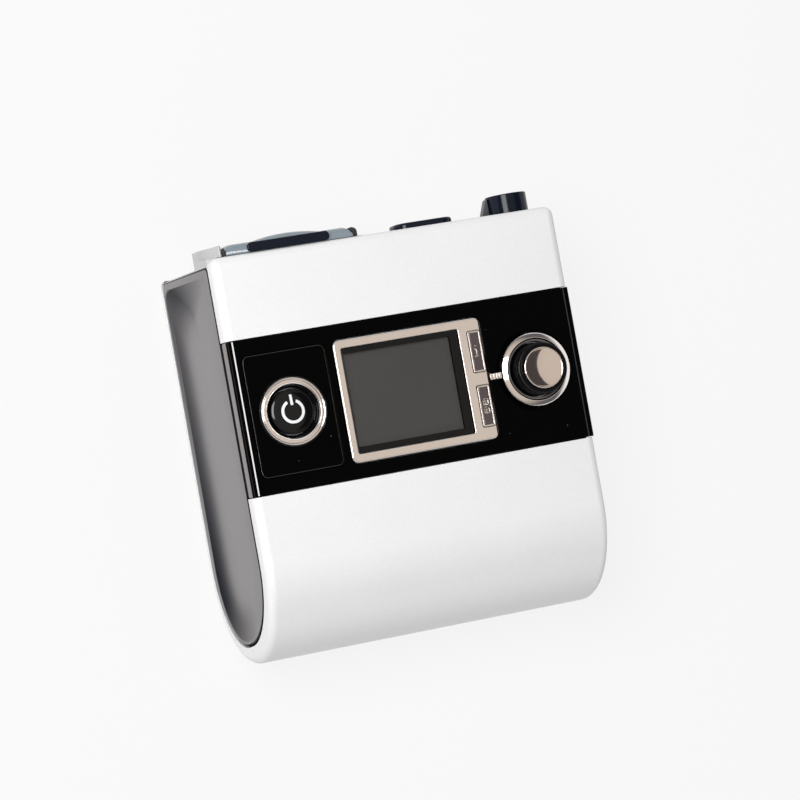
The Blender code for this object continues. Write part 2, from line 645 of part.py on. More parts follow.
CARD_CONNECTOR_LENGTH = 0.020
CARD_CONNECTOR_WALL = 0.0011
CARD_CONNECTOR_BACK = 0.004
connector_rear = wall_inner - FIT_GAP
card_connector = block("card_connector",
                       (card_port_low[0] - CARD_CONNECTOR_WALL, connector_rear - CARD_CONNECTOR_LENGTH,
                        card_port_low[1] - CARD_CONNECTOR_WALL),
                       (card_port_high[0] + CARD_CONNECTOR_WALL, connector_rear,
                        card_port_high[1] + CARD_CONNECTOR_WALL), RUBBER)
cut(card_connector, block("card_room", (card_port_low[0], connector_rear - CARD_CONNECTOR_LENGTH
                                        + CARD_CONNECTOR_BACK, card_port_low[1]),
                          (card_port_high[0], connector_rear + OVERRUN, card_port_high[1])))

# Mains inlet: a two-pin socket held in the rear wall by its flange.
INLET_INSET = 0.034
INLET_X = -HALF_WIDTH + INLET_INSET
INLET_Z = 0.024
INLET_BODY_WIDTH = 0.021
INLET_BODY_HEIGHT = 0.0126
INLET_FLANGE_WIDTH = 0.0235
INLET_FLANGE_HEIGHT = 0.0150
INLET_FLANGE = 0.0012
INLET_DEPTH = 0.014
INLET_LOBE_RADIUS = 0.0041
INLET_PIN_PITCH = 0.0086
INLET_PIN_RADIUS = 0.0012
INLET_PIN_LENGTH = 0.0085
INLET_FLOOR = 0.0025
inlet_front = wall_outer - INLET_DEPTH
inlet_rear = wall_outer + FIT_GAP + INLET_FLANGE
cut(rear_housing, block("inlet_hole", (INLET_X - INLET_BODY_WIDTH / 2 - FIT_GAP, wall_inner - OVERRUN,
                                       INLET_Z - INLET_BODY_HEIGHT / 2 - FIT_GAP),
                        (INLET_X + INLET_BODY_WIDTH / 2 + FIT_GAP, wall_outer + OVERRUN,
                         INLET_Z + INLET_BODY_HEIGHT / 2 + FIT_GAP)))
ac_inlet = block("ac_inlet", (INLET_X - INLET_BODY_WIDTH / 2, inlet_front, INLET_Z - INLET_BODY_HEIGHT / 2),
                 (INLET_X + INLET_BODY_WIDTH / 2, inlet_rear - INLET_FLANGE / 2,
                  INLET_Z + INLET_BODY_HEIGHT / 2), RUBBER)
inlet_flange = plate("inlet_flange", rounded_rectangle(
    (INLET_X - INLET_FLANGE_WIDTH / 2, INLET_Z - INLET_FLANGE_HEIGHT / 2),
    (INLET_X + INLET_FLANGE_WIDTH / 2, INLET_Z + INLET_FLANGE_HEIGHT / 2), INLET_FLANGE),
    wall_outer + FIT_GAP, inlet_rear, rearward=True)
lobe_centres = [INLET_X - INLET_PIN_PITCH / 2, INLET_X + INLET_PIN_PITCH / 2]
figure_eight = []
for turn, lobe_centre in ((0.0, lobe_centres[1]), (math.pi, lobe_centres[0])):
    for angle in arc(turn - math.pi / 3, turn + math.pi / 3, 8):
        figure_eight.append((lobe_centre + INLET_LOBE_RADIUS * math.cos(angle),
                             INLET_Z + INLET_LOBE_RADIUS * math.sin(angle)))
inlet_room = plate("inlet_room", figure_eight, inlet_front + INLET_FLOOR, inlet_rear + OVERRUN,
                   rearward=True)
join(ac_inlet, inlet_flange)
cut(ac_inlet, inlet_room)
for pin_number, pin_x in enumerate(lobe_centres):
    join(ac_inlet, rod(f"inlet_pin_{pin_number}", INLET_PIN_RADIUS, inlet_front + INLET_FLOOR / 2,
                       inlet_front + INLET_FLOOR + INLET_PIN_LENGTH, (pin_x, INLET_Z), axis="Y"))

# Round low-voltage socket with a centre pin.
SOCKET_X = 0.008
SOCKET_Z = 0.024
SOCKET_RADIUS = 0.0068
SOCKET_FLANGE_RADIUS = 0.0086
SOCKET_BORE = 0.0054
SOCKET_PIN_RADIUS = 0.0011
SOCKET_PIN_LENGTH = 0.005
SOCKET_DEPTH = 0.0135
SOCKET_FLOOR = 0.002
socket_front = wall_outer - SOCKET_DEPTH
socket_rear = wall_outer + FIT_GAP + INLET_FLANGE
cut(rear_housing, rod("socket_hole", SOCKET_RADIUS + FIT_GAP, wall_inner - OVERRUN, wall_outer + OVERRUN,
                      (SOCKET_X, SOCKET_Z), steps=ROUND_STEPS, axis="Y"))
turned("dc_inlet",
       [(0.0, socket_front + SOCKET_FLOOR + SOCKET_PIN_LENGTH),
        (SOCKET_PIN_RADIUS, socket_front + SOCKET_FLOOR + SOCKET_PIN_LENGTH),
        (SOCKET_PIN_RADIUS, socket_front + SOCKET_FLOOR), (SOCKET_BORE, socket_front + SOCKET_FLOOR),
        (SOCKET_BORE, socket_rear), (SOCKET_FLANGE_RADIUS, socket_rear),
        (SOCKET_FLANGE_RADIUS, wall_outer + FIT_GAP), (SOCKET_RADIUS, wall_outer + FIT_GAP),
        (SOCKET_RADIUS, socket_front), (0.0, socket_front)],
       RUBBER, (SOCKET_X, 0.0, SOCKET_Z), ROUND_STEPS, rearward=True)

# Retention clip: a bail that hangs from two ears and keeps the mains plug in.
CLIP_SECTION = 0.002
CLIP_SIDE_GAP = 0.0007
CLIP_PIVOT_RISE = 0.0105
CLIP_DROP = 0.0195
CLIP_OFFSET = 0.0026
CLIP_PIN_RADIUS = 0.0008
CLIP_PIN_LENGTH = 0.0016
EAR_THICKNESS = 0.0016
EAR_HALF_HEIGHT = 0.0022
EAR_REACH = 0.0024
clip_pivot_y = wall_outer + CLIP_OFFSET
clip_pivot_z = INLET_Z + CLIP_PIVOT_RISE
clip_inner = INLET_FLANGE_WIDTH / 2 + CLIP_SIDE_GAP
clip_outer = clip_inner + CLIP_SECTION
clip_low = clip_pivot_z - CLIP_DROP
clip_half = CLIP_SECTION / 2
clip_top = clip_pivot_z + clip_half
clip_outline = [(-clip_outer, clip_low), (clip_outer, clip_low), (clip_outer, clip_top),
                (clip_inner, clip_top), (clip_inner, clip_low + CLIP_SECTION),
                (-clip_inner, clip_low + CLIP_SECTION), (-clip_inner, clip_top), (-clip_outer, clip_top)]
retention_clip = plate("retention_clip", [(INLET_X + x, z) for x, z in clip_outline],
                       clip_pivot_y - clip_half, clip_pivot_y + clip_half, RUBBER, rearward=True)
pivot(retention_clip, (INLET_X, clip_pivot_y, clip_pivot_z))
for side in (-1, 1):
    pin_ends = sorted((INLET_X + side * (clip_outer - clip_half),
                       INLET_X + side * (clip_outer + CLIP_PIN_LENGTH)))
    join(retention_clip, rod(f"clip_pin_{side + 1}", CLIP_PIN_RADIUS, pin_ends[0], pin_ends[1],
                             (clip_pivot_y, clip_pivot_z), axis="X"))
    ear_ends = sorted((INLET_X + side * (clip_outer + FIT_GAP),
                       INLET_X + side * (clip_outer + FIT_GAP + EAR_THICKNESS)))
    join(rear_housing, block(f"ear_{side + 1}",
                             (ear_ends[0], wall_outer - REAR_WALL / 2, clip_pivot_z - EAR_HALF_HEIGHT),
                             (ear_ends[1], clip_pivot_y + EAR_REACH, clip_pivot_z + EAR_HALF_HEIGHT)))
    cut(rear_housing, rod(f"ear_hole_{side + 1}", CLIP_PIN_RADIUS + FIT_GAP, ear_ends[0] - OVERRUN,
                          ear_ends[1] + OVERRUN, (clip_pivot_y, clip_pivot_z), axis="X"))

# Control frame: the plate under the fascia, on four posts of the base shell.
FRAME_PLATE = 0.0018
POST_RADIUS = 0.003
POST_STEPS = 12
post_place_shares = ((-0.857, 0.06), (-0.171, 0.06), (-0.857, 0.93), (0.571, 0.93))
frame_top = BAND_TOP - BAND_RIM_DEPTH - FIT_GAP
frame_bottom = frame_top - FRAME_PLATE
band_front_inside = BAND_FRONT + FIT_GAP
band_rear_inside = BAND_REAR - FIT_GAP
control_frame = block("control_frame", (-panel_outer, band_front_inside, frame_bottom),
                      (panel_outer, band_rear_inside, frame_top), WHITE_PLASTIC)
post_places = [(HALF_WIDTH * x_share, BAND_FRONT + BAND_LENGTH * y_share)
               for x_share, y_share in post_place_shares]
for number, place in enumerate(post_places):
    join(base_shell, rod(f"post_{number}", POST_RADIUS, WALL / 2, frame_bottom - FIT_GAP, place,
                         steps=POST_STEPS))

# Screen: bezel, window and display, stacked on the control frame.
POWER_INSET = 0.0212
POWER_PLATE_HALF_WIDTH = 0.0163
DIAL_INSET = 0.0192
DIAL_RING_RADIUS = 0.0141
POWER_TO_SCREEN = 0.0032
SCREEN_TO_DIAL = 0.0057
SCREEN_LENGTH = 0.0470
BEZEL_PROUD = 0.0010
BEZEL_CORNER = 0.0026
BEZEL_EDGE = 0.0006
WINDOW_LEFT_MARGIN = 0.0031
WINDOW_RIGHT_MARGIN = 0.0098
WINDOW_END_MARGIN = 0.00345
WINDOW_THICKNESS = 0.0015
WINDOW_RECESS = 0.0005
WINDOW_CORNER = 0.0008
WINDOW_GAP = 0.0002
DISPLAY_MARGIN = 0.0006
POWER_X = -HALF_WIDTH + POWER_INSET
DIAL_X = HALF_WIDTH - DIAL_INSET
bezel_low = (POWER_X + POWER_PLATE_HALF_WIDTH + POWER_TO_SCREEN, CONTROL_LINE - SCREEN_LENGTH / 2)
bezel_high = (DIAL_X - DIAL_RING_RADIUS - SCREEN_TO_DIAL, CONTROL_LINE + SCREEN_LENGTH / 2)
window_low = (bezel_low[0] + WINDOW_LEFT_MARGIN, bezel_low[1] + WINDOW_END_MARGIN)
window_high = (bezel_high[0] - WINDOW_RIGHT_MARGIN, bezel_high[1] - WINDOW_END_MARGIN)
bezel_bottom = frame_top + FIT_GAP
bezel_top = BAND_TOP + BEZEL_PROUD


def grown(low, high, amount):
    return (low[0] - amount, low[1] - amount), (high[0] + amount, high[1] + amount)


bezel_outline = rounded_rectangle(bezel_low, bezel_high, BEZEL_CORNER, 4)
bezel_rings = [[(x, y, bezel_bottom) for x, y in bezel_outline]]
for edge_angle in arc(0.0, math.pi / 2, 2):
    inset = BEZEL_EDGE * (1 - math.cos(edge_angle))
    ring_low, ring_high = grown(bezel_low, bezel_high, -inset)
    bezel_rings.append([(x, y, bezel_top - BEZEL_EDGE + BEZEL_EDGE * math.sin(edge_angle))
                        for x, y in rounded_rectangle(ring_low, ring_high, BEZEL_CORNER - inset, 4)])
screen_bezel = loft("screen_bezel", bezel_rings, CHROME)
cut(screen_bezel, plate("window_hole", rounded_rectangle(*grown(window_low, window_high, WINDOW_GAP),
                                                         WINDOW_CORNER),
                        bezel_bottom - OVERRUN, bezel_top + OVERRUN))
cut(fascia, plate("bezel_hole",
                  rounded_rectangle(*grown(bezel_low, bezel_high, FIT_GAP), BEZEL_CORNER + FIT_GAP, 4),
                  BAND_UNDERSIDE - OVERRUN, BAND_TOP + OVERRUN))
window_bottom = bezel_top - WINDOW_RECESS - WINDOW_THICKNESS
plate("screen_window", rounded_rectangle(window_low, window_high, WINDOW_CORNER), window_bottom,
      bezel_top - WINDOW_RECESS, ((0.02, 0.02, 0.02), 0.05, 0.0, 0.4))
display_low, display_high = grown(window_low, window_high, -DISPLAY_MARGIN)
block("lcd_module", (*display_low, bezel_bottom), (*display_high, window_bottom - FIT_GAP),
      ((0.10, 0.10, 0.09), 0.3))
DISPLAY_SLOT_WIDTH = 0.026
DISPLAY_SLOT_LENGTH = 0.004
DISPLAY_SLOT_INSET = 0.004
slot_middle = (window_low[0] + window_high[0]) / 2
cut(control_frame, block("display_slot",
                         (slot_middle - DISPLAY_SLOT_WIDTH / 2, window_low[1] + DISPLAY_SLOT_INSET,
                          frame_bottom - OVERRUN),
                         (slot_middle + DISPLAY_SLOT_WIDTH / 2,
                          window_low[1] + DISPLAY_SLOT_INSET + DISPLAY_SLOT_LENGTH, frame_top + OVERRUN)))

# Main board, hung under the control frame on its bosses.
BOARD_DROP = 0.0069
BOARD_THICKNESS = 0.0016
BOARD_LEFT_INSET = 0.012
BOARD_RIGHT_INSET = 0.0095
BOARD_EDGE_INSET = 0.0075
BOSS_INSET = 0.0035
BOSS_RADIUS = 0.0024
board_top = frame_bottom - BOARD_DROP
board_left = -HALF_WIDTH + BOARD_LEFT_INSET
board_right = HALF_WIDTH - BOARD_RIGHT_INSET
board_front = BAND_FRONT + BOARD_EDGE_INSET
board_rear = BAND_REAR - BOARD_EDGE_INSET
block("main_board", (board_left, board_front, board_top - BOARD_THICKNESS),
      (board_right, board_rear, board_top), BOARD_GREEN)
board_seat = board_top + FIT_GAP
for number, place in enumerate(((board_left + BOSS_INSET, board_front + BOSS_INSET),
                                (board_right - BOSS_INSET, board_front + BOSS_INSET),
                                (board_left + BOSS_INSET, board_rear - BOSS_INSET),
                                (board_right - BOSS_INSET, board_rear - BOSS_INSET))):
    join(control_frame, rod(f"boss_{number}", BOSS_RADIUS, board_seat, frame_bottom + FRAME_PLATE / 2,
                            place, steps=POST_STEPS))

# Screen buttons: two plated keys in the bezel's right strip, each over its own switch.
KEY_WIDTH = 0.005
KEY_LENGTH = 0.0158
KEY_INSET = 0.0035
KEY_OFFSET = 0.01055
KEY_PROUD = 0.0004
KEY_CORNER = 0.0006
KEY_GAP = 0.0002
KEY_THICKNESS = 0.0026
KEY_RIM = 0.0006
KEY_HOLLOW = 0.00025
KEY_STEM_RADIUS = 0.001
KEY_TRAVEL = 0.0006
SWITCH_SIZE = 0.006
SWITCH_HEIGHT = 0.0042
STEM_CLEARANCE = 0.0003
STEM_IN_SWITCH = 0.0012
STEM_END_ROOM = 0.0003
KEY_X = bezel_high[0] - KEY_INSET
key_top = bezel_top + KEY_PROUD
key_bottom = key_top - KEY_THICKNESS
switch_top = board_seat + SWITCH_HEIGHT


def switch(name, size, height, stem_radius, travel, place):
    """A board switch: a square body with a well for the plunger."""
    body = block(name, (place[0] - size / 2, place[1] - size / 2, board_seat),
                 (place[0] + size / 2, place[1] + size / 2, board_seat + height), RUBBER)
    well_floor = board_seat + height - STEM_IN_SWITCH - travel - STEM_END_ROOM
    return cut(body, rod(name + "_well", stem_radius + STEM_CLEARANCE, well_floor,
                         board_seat + height + OVERRUN, place))


for side, key_name, switch_name in ((1, "info_button", "info_switch"), (-1, "menu_button", "menu_switch")):
    key_y = CONTROL_LINE + side * KEY_OFFSET
    key_low = (KEY_X - KEY_WIDTH / 2, key_y - KEY_LENGTH / 2)
    key_high = (KEY_X + KEY_WIDTH / 2, key_y + KEY_LENGTH / 2)
    key = plate(key_name, rounded_rectangle(key_low, key_high, KEY_CORNER, 2), key_bottom, key_top, CHROME)
    pivot(key, (KEY_X, key_y, key_bottom))
    join(key, rod(key_name + "_stem", KEY_STEM_RADIUS, switch_top - STEM_IN_SWITCH,
                  key_bottom + KEY_THICKNESS / 2, (KEY_X, key_y)))
    hollow_low, hollow_high = grown(key_low, key_high, -KEY_RIM)
    cut(key, block(key_name + "_hollow", (*hollow_low, key_top - KEY_HOLLOW),
                   (*hollow_high, key_top + OVERRUN)))
    cut(screen_bezel, plate(key_name + "_hole",
                            rounded_rectangle(*grown(key_low, key_high, KEY_GAP), KEY_CORNER + KEY_GAP, 2),
                            bezel_bottom - OVERRUN, bezel_top + OVERRUN))
    cut(control_frame, rod(key_name + "_pass", KEY_STEM_RADIUS + STEM_CLEARANCE, frame_bottom - OVERRUN,
                           frame_top + OVERRUN, (KEY_X, key_y)))
    switch(switch_name, SWITCH_SIZE, SWITCH_HEIGHT, KEY_STEM_RADIUS, KEY_TRAVEL, (KEY_X, key_y))

# Power button: gloss plate, plated ring, dish and domed button over its switch.
POWER_PLATE_LENGTH = 0.0462
POWER_PLATE_CORNER = 0.0022
POWER_PLATE_THICKNESS = 0.0011
POWER_PLATE_PROUD = 0.0002
POWER_RING_RADIUS = 0.0127
POWER_RING_INNER = 0.0103
POWER_RING_PROUD = 0.0010
POWER_RING_EDGE = 0.0006
DISH_INNER = 0.0090
DISH_DROP = 0.0004
DISH_HOLLOW = 0.0013
DISH_LIP_SHARE = 0.8
POWER_RADIUS = 0.0086
POWER_CROWN = 0.0013
POWER_EDGE_DROP = 0.0011
POWER_SKIRT = 0.0022
POWER_STEM_RADIUS = 0.002
POWER_TRAVEL = 0.0010
POWER_SWITCH_SIZE = 0.012
POWER_SWITCH_HEIGHT = 0.0050
CROWN_STEPS = 4
power_place = (POWER_X, CONTROL_LINE)
plate_top = BAND_TOP + POWER_PLATE_PROUD
plate_bottom = plate_top - POWER_PLATE_THICKNESS
plate_low = (POWER_X - POWER_PLATE_HALF_WIDTH, CONTROL_LINE - POWER_PLATE_LENGTH / 2)
plate_high = (POWER_X + POWER_PLATE_HALF_WIDTH, CONTROL_LINE + POWER_PLATE_LENGTH / 2)
power_plate = plate("power_plate", rounded_rectangle(plate_low, plate_high, POWER_PLATE_CORNER),
                    plate_bottom, plate_top, GLOSS_BLACK)
cut(fascia, plate("plate_pocket", rounded_rectangle(*grown(plate_low, plate_high, FIT_GAP),
                                                    POWER_PLATE_CORNER + FIT_GAP),
                  plate_bottom - FIT_GAP, BAND_TOP + OVERRUN))
cut(power_plate, rod("plate_ring_hole", POWER_RING_RADIUS + FIT_GAP, plate_bottom - OVERRUN,
                     plate_top + OVERRUN, power_place, steps=FINE_STEPS))
cut(fascia, rod("power_ring_hole", POWER_RING_RADIUS + FIT_GAP, BAND_UNDERSIDE - OVERRUN,
                BAND_TOP + OVERRUN, power_place, steps=FINE_STEPS))
ring_top = BAND_TOP + POWER_RING_PROUD
turned("power_ring",
       [(POWER_RING_RADIUS - POWER_RING_EDGE * 2, ring_top),
        (POWER_RING_RADIUS - POWER_RING_EDGE / 2, ring_top - POWER_RING_EDGE / 3),
        (POWER_RING_RADIUS, ring_top - POWER_RING_EDGE), (POWER_RING_RADIUS, bezel_bottom),
        (POWER_RING_INNER, bezel_bottom), (POWER_RING_INNER, ring_top - POWER_RING_EDGE * 2),
        (POWER_RING_INNER + POWER_RING_EDGE, ring_top - POWER_RING_EDGE / 3)],
       CHROME, (*power_place, 0.0), FINE_STEPS, closed=True)
dish_outer = POWER_RING_INNER - FIT_GAP
dish_top = BAND_TOP - DISH_DROP
turned("power_dish",
       [(dish_outer, dish_top), (dish_outer, bezel_bottom), (DISH_INNER, bezel_bottom),
        (DISH_INNER, dish_top - DISH_HOLLOW),
        ((DISH_INNER + dish_outer) / 2, dish_top - DISH_HOLLOW * DISH_LIP_SHARE)],
       GLOSS_BLACK, (*power_place, 0.0), FINE_STEPS, closed=True)
crown_base = BAND_TOP - POWER_EDGE_DROP
crown = [(POWER_RADIUS * math.sin(a), crown_base + POWER_CROWN * math.cos(a))
         for a in arc(0.0, math.pi / 2, CROWN_STEPS)]
power_switch_top = board_seat + POWER_SWITCH_HEIGHT
turned("power_button",
       crown + [(POWER_RADIUS, crown_base - POWER_SKIRT), (POWER_STEM_RADIUS, crown_base - POWER_SKIRT),
                (POWER_STEM_RADIUS, power_switch_top - STEM_IN_SWITCH),
                (0.0, power_switch_top - STEM_IN_SWITCH)],
       GLOSS_BLACK, (*power_place, 0.0), FINE_STEPS)
cut(control_frame, rod("power_pass", POWER_STEM_RADIUS + STEM_CLEARANCE, frame_bottom - OVERRUN,
                       frame_top + OVERRUN, power_place))
switch("power_switch", POWER_SWITCH_SIZE, POWER_SWITCH_HEIGHT, POWER_STEM_RADIUS, POWER_TRAVEL, power_place)

# Dial: plated ring, black knob with a plated cap, turning on an encoder that also clicks when pressed.
DIAL_RING_INNER = 0.0118
DIAL_RING_THROAT = 0.0109
DIAL_RING_PROUD = 0.0011
DIAL_RING_EDGE = 0.0007
DIAL_RING_CONE = 0.0036
KNOB_SKIRT_RADIUS = 0.0105
KNOB_RADIUS = 0.00975
KNOB_HEIGHT = 0.0082
KNOB_SKIRT_TOP = 0.0016
KNOB_EDGE = 0.0008
KNOB_WALL = 0.0013
KNOB_CROWN = 0.0024
CAP_RADIUS = 0.0080
CAP_THICKNESS = 0.0016
CAP_PROUD = 0.0002
CAP_RIM = 0.0005
CAP_HOLLOW = 0.0008
CAP_STEPS = 3
DIAL_HOLLOW_RADIUS = 0.0166
DIAL_HOLLOW = 0.0007
DIAL_HOLLOW_SHARE = 0.6
HUB_RADIUS = 0.0048
SHAFT_RADIUS = 0.003
DIAL_TRAVEL = 0.0008
BUSH_RADIUS = 0.0038
BUSH_RISE = 0.0018
ENCODER_SIZE = 0.0118
ENCODER_GAP = 0.0003
ENCODER_FLOOR = 0.0006
PLUNGER_THICKNESS = 0.0008
PLUNGER_RADIUS = 0.0024
PLUNGER_ROOM = 0.0002
dial_place = (DIAL_X, CONTROL_LINE)
dial_ring_top = BAND_TOP + DIAL_RING_PROUD
cut(fascia, rod("dial_hole", DIAL_RING_RADIUS + FIT_GAP, BAND_UNDERSIDE - OVERRUN, BAND_TOP + OVERRUN,
                dial_place, steps=FINE_STEPS))
hollow_inner = DIAL_RING_RADIUS + FIT_GAP
cut(fascia, turned("dial_hollow",
                   [(0.0, BAND_TOP + OVERRUN), (DIAL_HOLLOW_RADIUS, BAND_TOP + OVERRUN),
                    (DIAL_HOLLOW_RADIUS, BAND_TOP),
                    ((DIAL_HOLLOW_RADIUS + hollow_inner) / 2, BAND_TOP - DIAL_HOLLOW * DIAL_HOLLOW_SHARE),
                    (hollow_inner, BAND_TOP - DIAL_HOLLOW), (0.0, BAND_TOP - DIAL_HOLLOW)],
                   None, (*dial_place, 0.0), FINE_STEPS))
turned("dial_ring",
       [(DIAL_RING_INNER + DIAL_RING_EDGE, dial_ring_top),
        (DIAL_RING_RADIUS - DIAL_RING_EDGE, dial_ring_top - DIAL_RING_EDGE / 3),
        (DIAL_RING_RADIUS, dial_ring_top - DIAL_RING_EDGE), (DIAL_RING_RADIUS, bezel_bottom),
        (DIAL_RING_THROAT, bezel_bottom), (DIAL_RING_THROAT, dial_ring_top - DIAL_RING_CONE),
        (DIAL_RING_INNER, dial_ring_top - DIAL_RING_EDGE)],
       CHROME, (*dial_place, 0.0), FINE_STEPS, closed=True)
encoder_top = frame_bottom - ENCODER_GAP
bush_top = frame_top + BUSH_RISE
knob_top = BAND_TOP + KNOB_HEIGHT
knob_bottom = bezel_bottom + DIAL_TRAVEL
hub_bottom = bush_top + DIAL_TRAVEL + FIT_GAP
shaft_top = knob_top - KNOB_CROWN - CAP_THICKNESS
cap_seat = knob_top - CAP_THICKNESS
plunger_bottom = board_seat + ENCODER_FLOOR + DIAL_TRAVEL + PLUNGER_ROOM
shaft_bottom = plunger_bottom + PLUNGER_THICKNESS + FIT_GAP
turned("dial_knob",
       [(0.0, cap_seat), (CAP_RADIUS + FIT_GAP, cap_seat), (CAP_RADIUS + FIT_GAP, knob_top),
        (KNOB_RADIUS - KNOB_EDGE, knob_top), (KNOB_RADIUS, knob_top - KNOB_EDGE),
        (KNOB_RADIUS, BAND_TOP + KNOB_SKIRT_TOP),
        (KNOB_SKIRT_RADIUS, BAND_TOP + KNOB_SKIRT_TOP - KNOB_EDGE),
        (KNOB_SKIRT_RADIUS, knob_bottom), (KNOB_RADIUS - KNOB_WALL, knob_bottom),
        (KNOB_RADIUS - KNOB_WALL, knob_top - KNOB_CROWN - CAP_THICKNESS),
        (HUB_RADIUS, knob_top - KNOB_CROWN - CAP_THICKNESS), (HUB_RADIUS, hub_bottom),
        (SHAFT_RADIUS + FIT_GAP, hub_bottom), (SHAFT_RADIUS + FIT_GAP, shaft_top + FIT_GAP),
        (0.0, shaft_top + FIT_GAP)],
       GLOSS_BLACK, (*dial_place, 0.0), FINE_STEPS)
cap_bowl = [((CAP_RADIUS - CAP_RIM) * share, knob_top + CAP_PROUD - CAP_HOLLOW * (1 - share * share))
            for share in arc(0.0, 1.0, CAP_STEPS)]
turned("dial_cap",
       cap_bowl + [(CAP_RADIUS - CAP_PROUD, knob_top + CAP_PROUD), (CAP_RADIUS, knob_top),
                   (CAP_RADIUS, cap_seat + FIT_GAP), (0.0, cap_seat + FIT_GAP)],
       CHROME, (*dial_place, 0.0), FINE_STEPS)
turned("encoder_shaft", [(0.0, shaft_top), (SHAFT_RADIUS, shaft_top), (SHAFT_RADIUS, shaft_bottom),
                         (0.0, shaft_bottom)], STEEL, (*dial_place, 0.0), SMALL_STEPS)
turned("encoder_plunger", [(0.0, plunger_bottom + PLUNGER_THICKNESS),
                           (PLUNGER_RADIUS, plunger_bottom + PLUNGER_THICKNESS),
                           (PLUNGER_RADIUS, plunger_bottom), (0.0, plunger_bottom)],
       WHITE_PLASTIC, (*dial_place, 0.0), SMALL_STEPS)
encoder_body = block("encoder_body",
                     (DIAL_X - ENCODER_SIZE / 2, CONTROL_LINE - ENCODER_SIZE / 2, board_seat),
                     (DIAL_X + ENCODER_SIZE / 2, CONTROL_LINE + ENCODER_SIZE / 2, encoder_top), STEEL)
join(encoder_body, rod("encoder_bush", BUSH_RADIUS, encoder_top - FRAME_PLATE, bush_top, dial_place,
                       steps=ROUND_STEPS))
cut(encoder_body, rod("encoder_bore", SHAFT_RADIUS + FIT_GAP, board_seat + ENCODER_FLOOR,
                      bush_top + OVERRUN, dial_place, steps=ROUND_STEPS))
cut(control_frame, rod("encoder_pass", BUSH_RADIUS + FIT_GAP, frame_bottom - OVERRUN, frame_top + OVERRUN,
                       dial_place, steps=ROUND_STEPS))

# Plated link between the bezel and the dial's ring, with fine ribs across it.
LINK_WIDTH = 0.0023
LINK_THICKNESS = 0.0006
LINK_RIBS = 3
LINK_RIB = 0.0004
link_left = bezel_high[0] + FIT_GAP
link_right = DIAL_X - DIAL_RING_RADIUS - FIT_GAP * 2
link_low = BAND_TOP + FIT_GAP
dial_link = block("dial_link", (link_left, CONTROL_LINE - LINK_WIDTH / 2, link_low),
                  (link_right, CONTROL_LINE + LINK_WIDTH / 2, link_low + LINK_THICKNESS), CHROME)
for rib in range(LINK_RIBS):
    rib_x = link_left + (link_right - link_left) * (rib + 1) / (LINK_RIBS + 1)
    cut(dial_link, block(f"link_groove_{rib}", (rib_x - LINK_RIB / 2, CONTROL_LINE - LINK_WIDTH,
                                                link_low + LINK_THICKNESS / 2),
                         (rib_x + LINK_RIB / 2, CONTROL_LINE + LINK_WIDTH, link_low + LINK_THICKNESS * 2)))

# Blower: a scroll housing in two halves, on three rubber mounts, with its rotor on two bearings.
BLOWER_RIGHT_INSET = 0.0424
BLOWER_FRONT_INSET = 0.017
BLOWER_FLOOR_Z = 0.012
BLOWER_SKIN = 0.0018
SCROLL_START = 0.027
SCROLL_END = 0.036
SCROLL_TONGUE_SHARE = 0.083
SCROLL_STEPS = 22
BLOWER_WALL_HEIGHT = 0.018
NOZZLE_LENGTH = 0.042
NOZZLE_INNER_X = 0.0250
NOZZLE_ROOT = 0.0012
EYE_RADIUS = 0.012
EYE_LIP = 0.0016
EYE_RISE = 0.0032
MOTOR_RADIUS = 0.015
MOTOR_SPIGOT_RADIUS = 0.009
MOTOR_FOOT_GAP = 0.0018
MOTOR_SPIGOT_RISE = 0.0015
BEARING_RADIUS = 0.005
BEARING_HEIGHT = 0.0025
BEARING_LIP = 0.0006
ROTOR_SHAFT_RADIUS = 0.0015
IMPELLER_RADIUS = 0.024
IMPELLER_HUB_RADIUS = 0.0055
IMPELLER_HUB_TOP_SHARE = 0.7
IMPELLER_DISC = 0.0014
BLADE_HEIGHT = 0.0085
BLADE_THICKNESS = 0.0011
BLADE_COUNT = 9
BLADE_SWEEP_SHARE = 0.11
BLADE_POINTS = 5
IMPELLER_GAP = 0.0006
BLOWER_X = HALF_WIDTH - BLOWER_RIGHT_INSET
BLOWER_Y = NOSE_RADIUS + BLOWER_FRONT_INSET
blower_top = BLOWER_FLOOR_Z + BLOWER_WALL_HEIGHT
blower_place = (BLOWER_X, BLOWER_Y)
tongue_angle = math.tau * SCROLL_TONGUE_SHARE
nozzle_rear = BLOWER_Y + NOZZLE_LENGTH
nozzle_low_x = BLOWER_X + NOZZLE_INNER_X
nozzle_high_x = BLOWER_X + SCROLL_END


def scroll_radius(angle):
    """The scroll widens evenly from the tongue to the nozzle."""
    return SCROLL_START + (SCROLL_END - SCROLL_START) * (angle - tongue_angle) / (math.tau - tongue_angle)


def scroll(extra):
    points = []
    for angle in arc(tongue_angle, math.tau, SCROLL_STEPS):
        radius = scroll_radius(angle) + extra
        points.append((BLOWER_X + radius * math.cos(angle), BLOWER_Y + radius * math.sin(angle)))
    return points


def floor_height(y):
    """Height of the base's outer surface, which curves up towards the nose."""
    short = max(0.0, NOSE_RADIUS - y)
    return NOSE_RADIUS - math.sqrt(NOSE_RADIUS ** 2 - short ** 2)


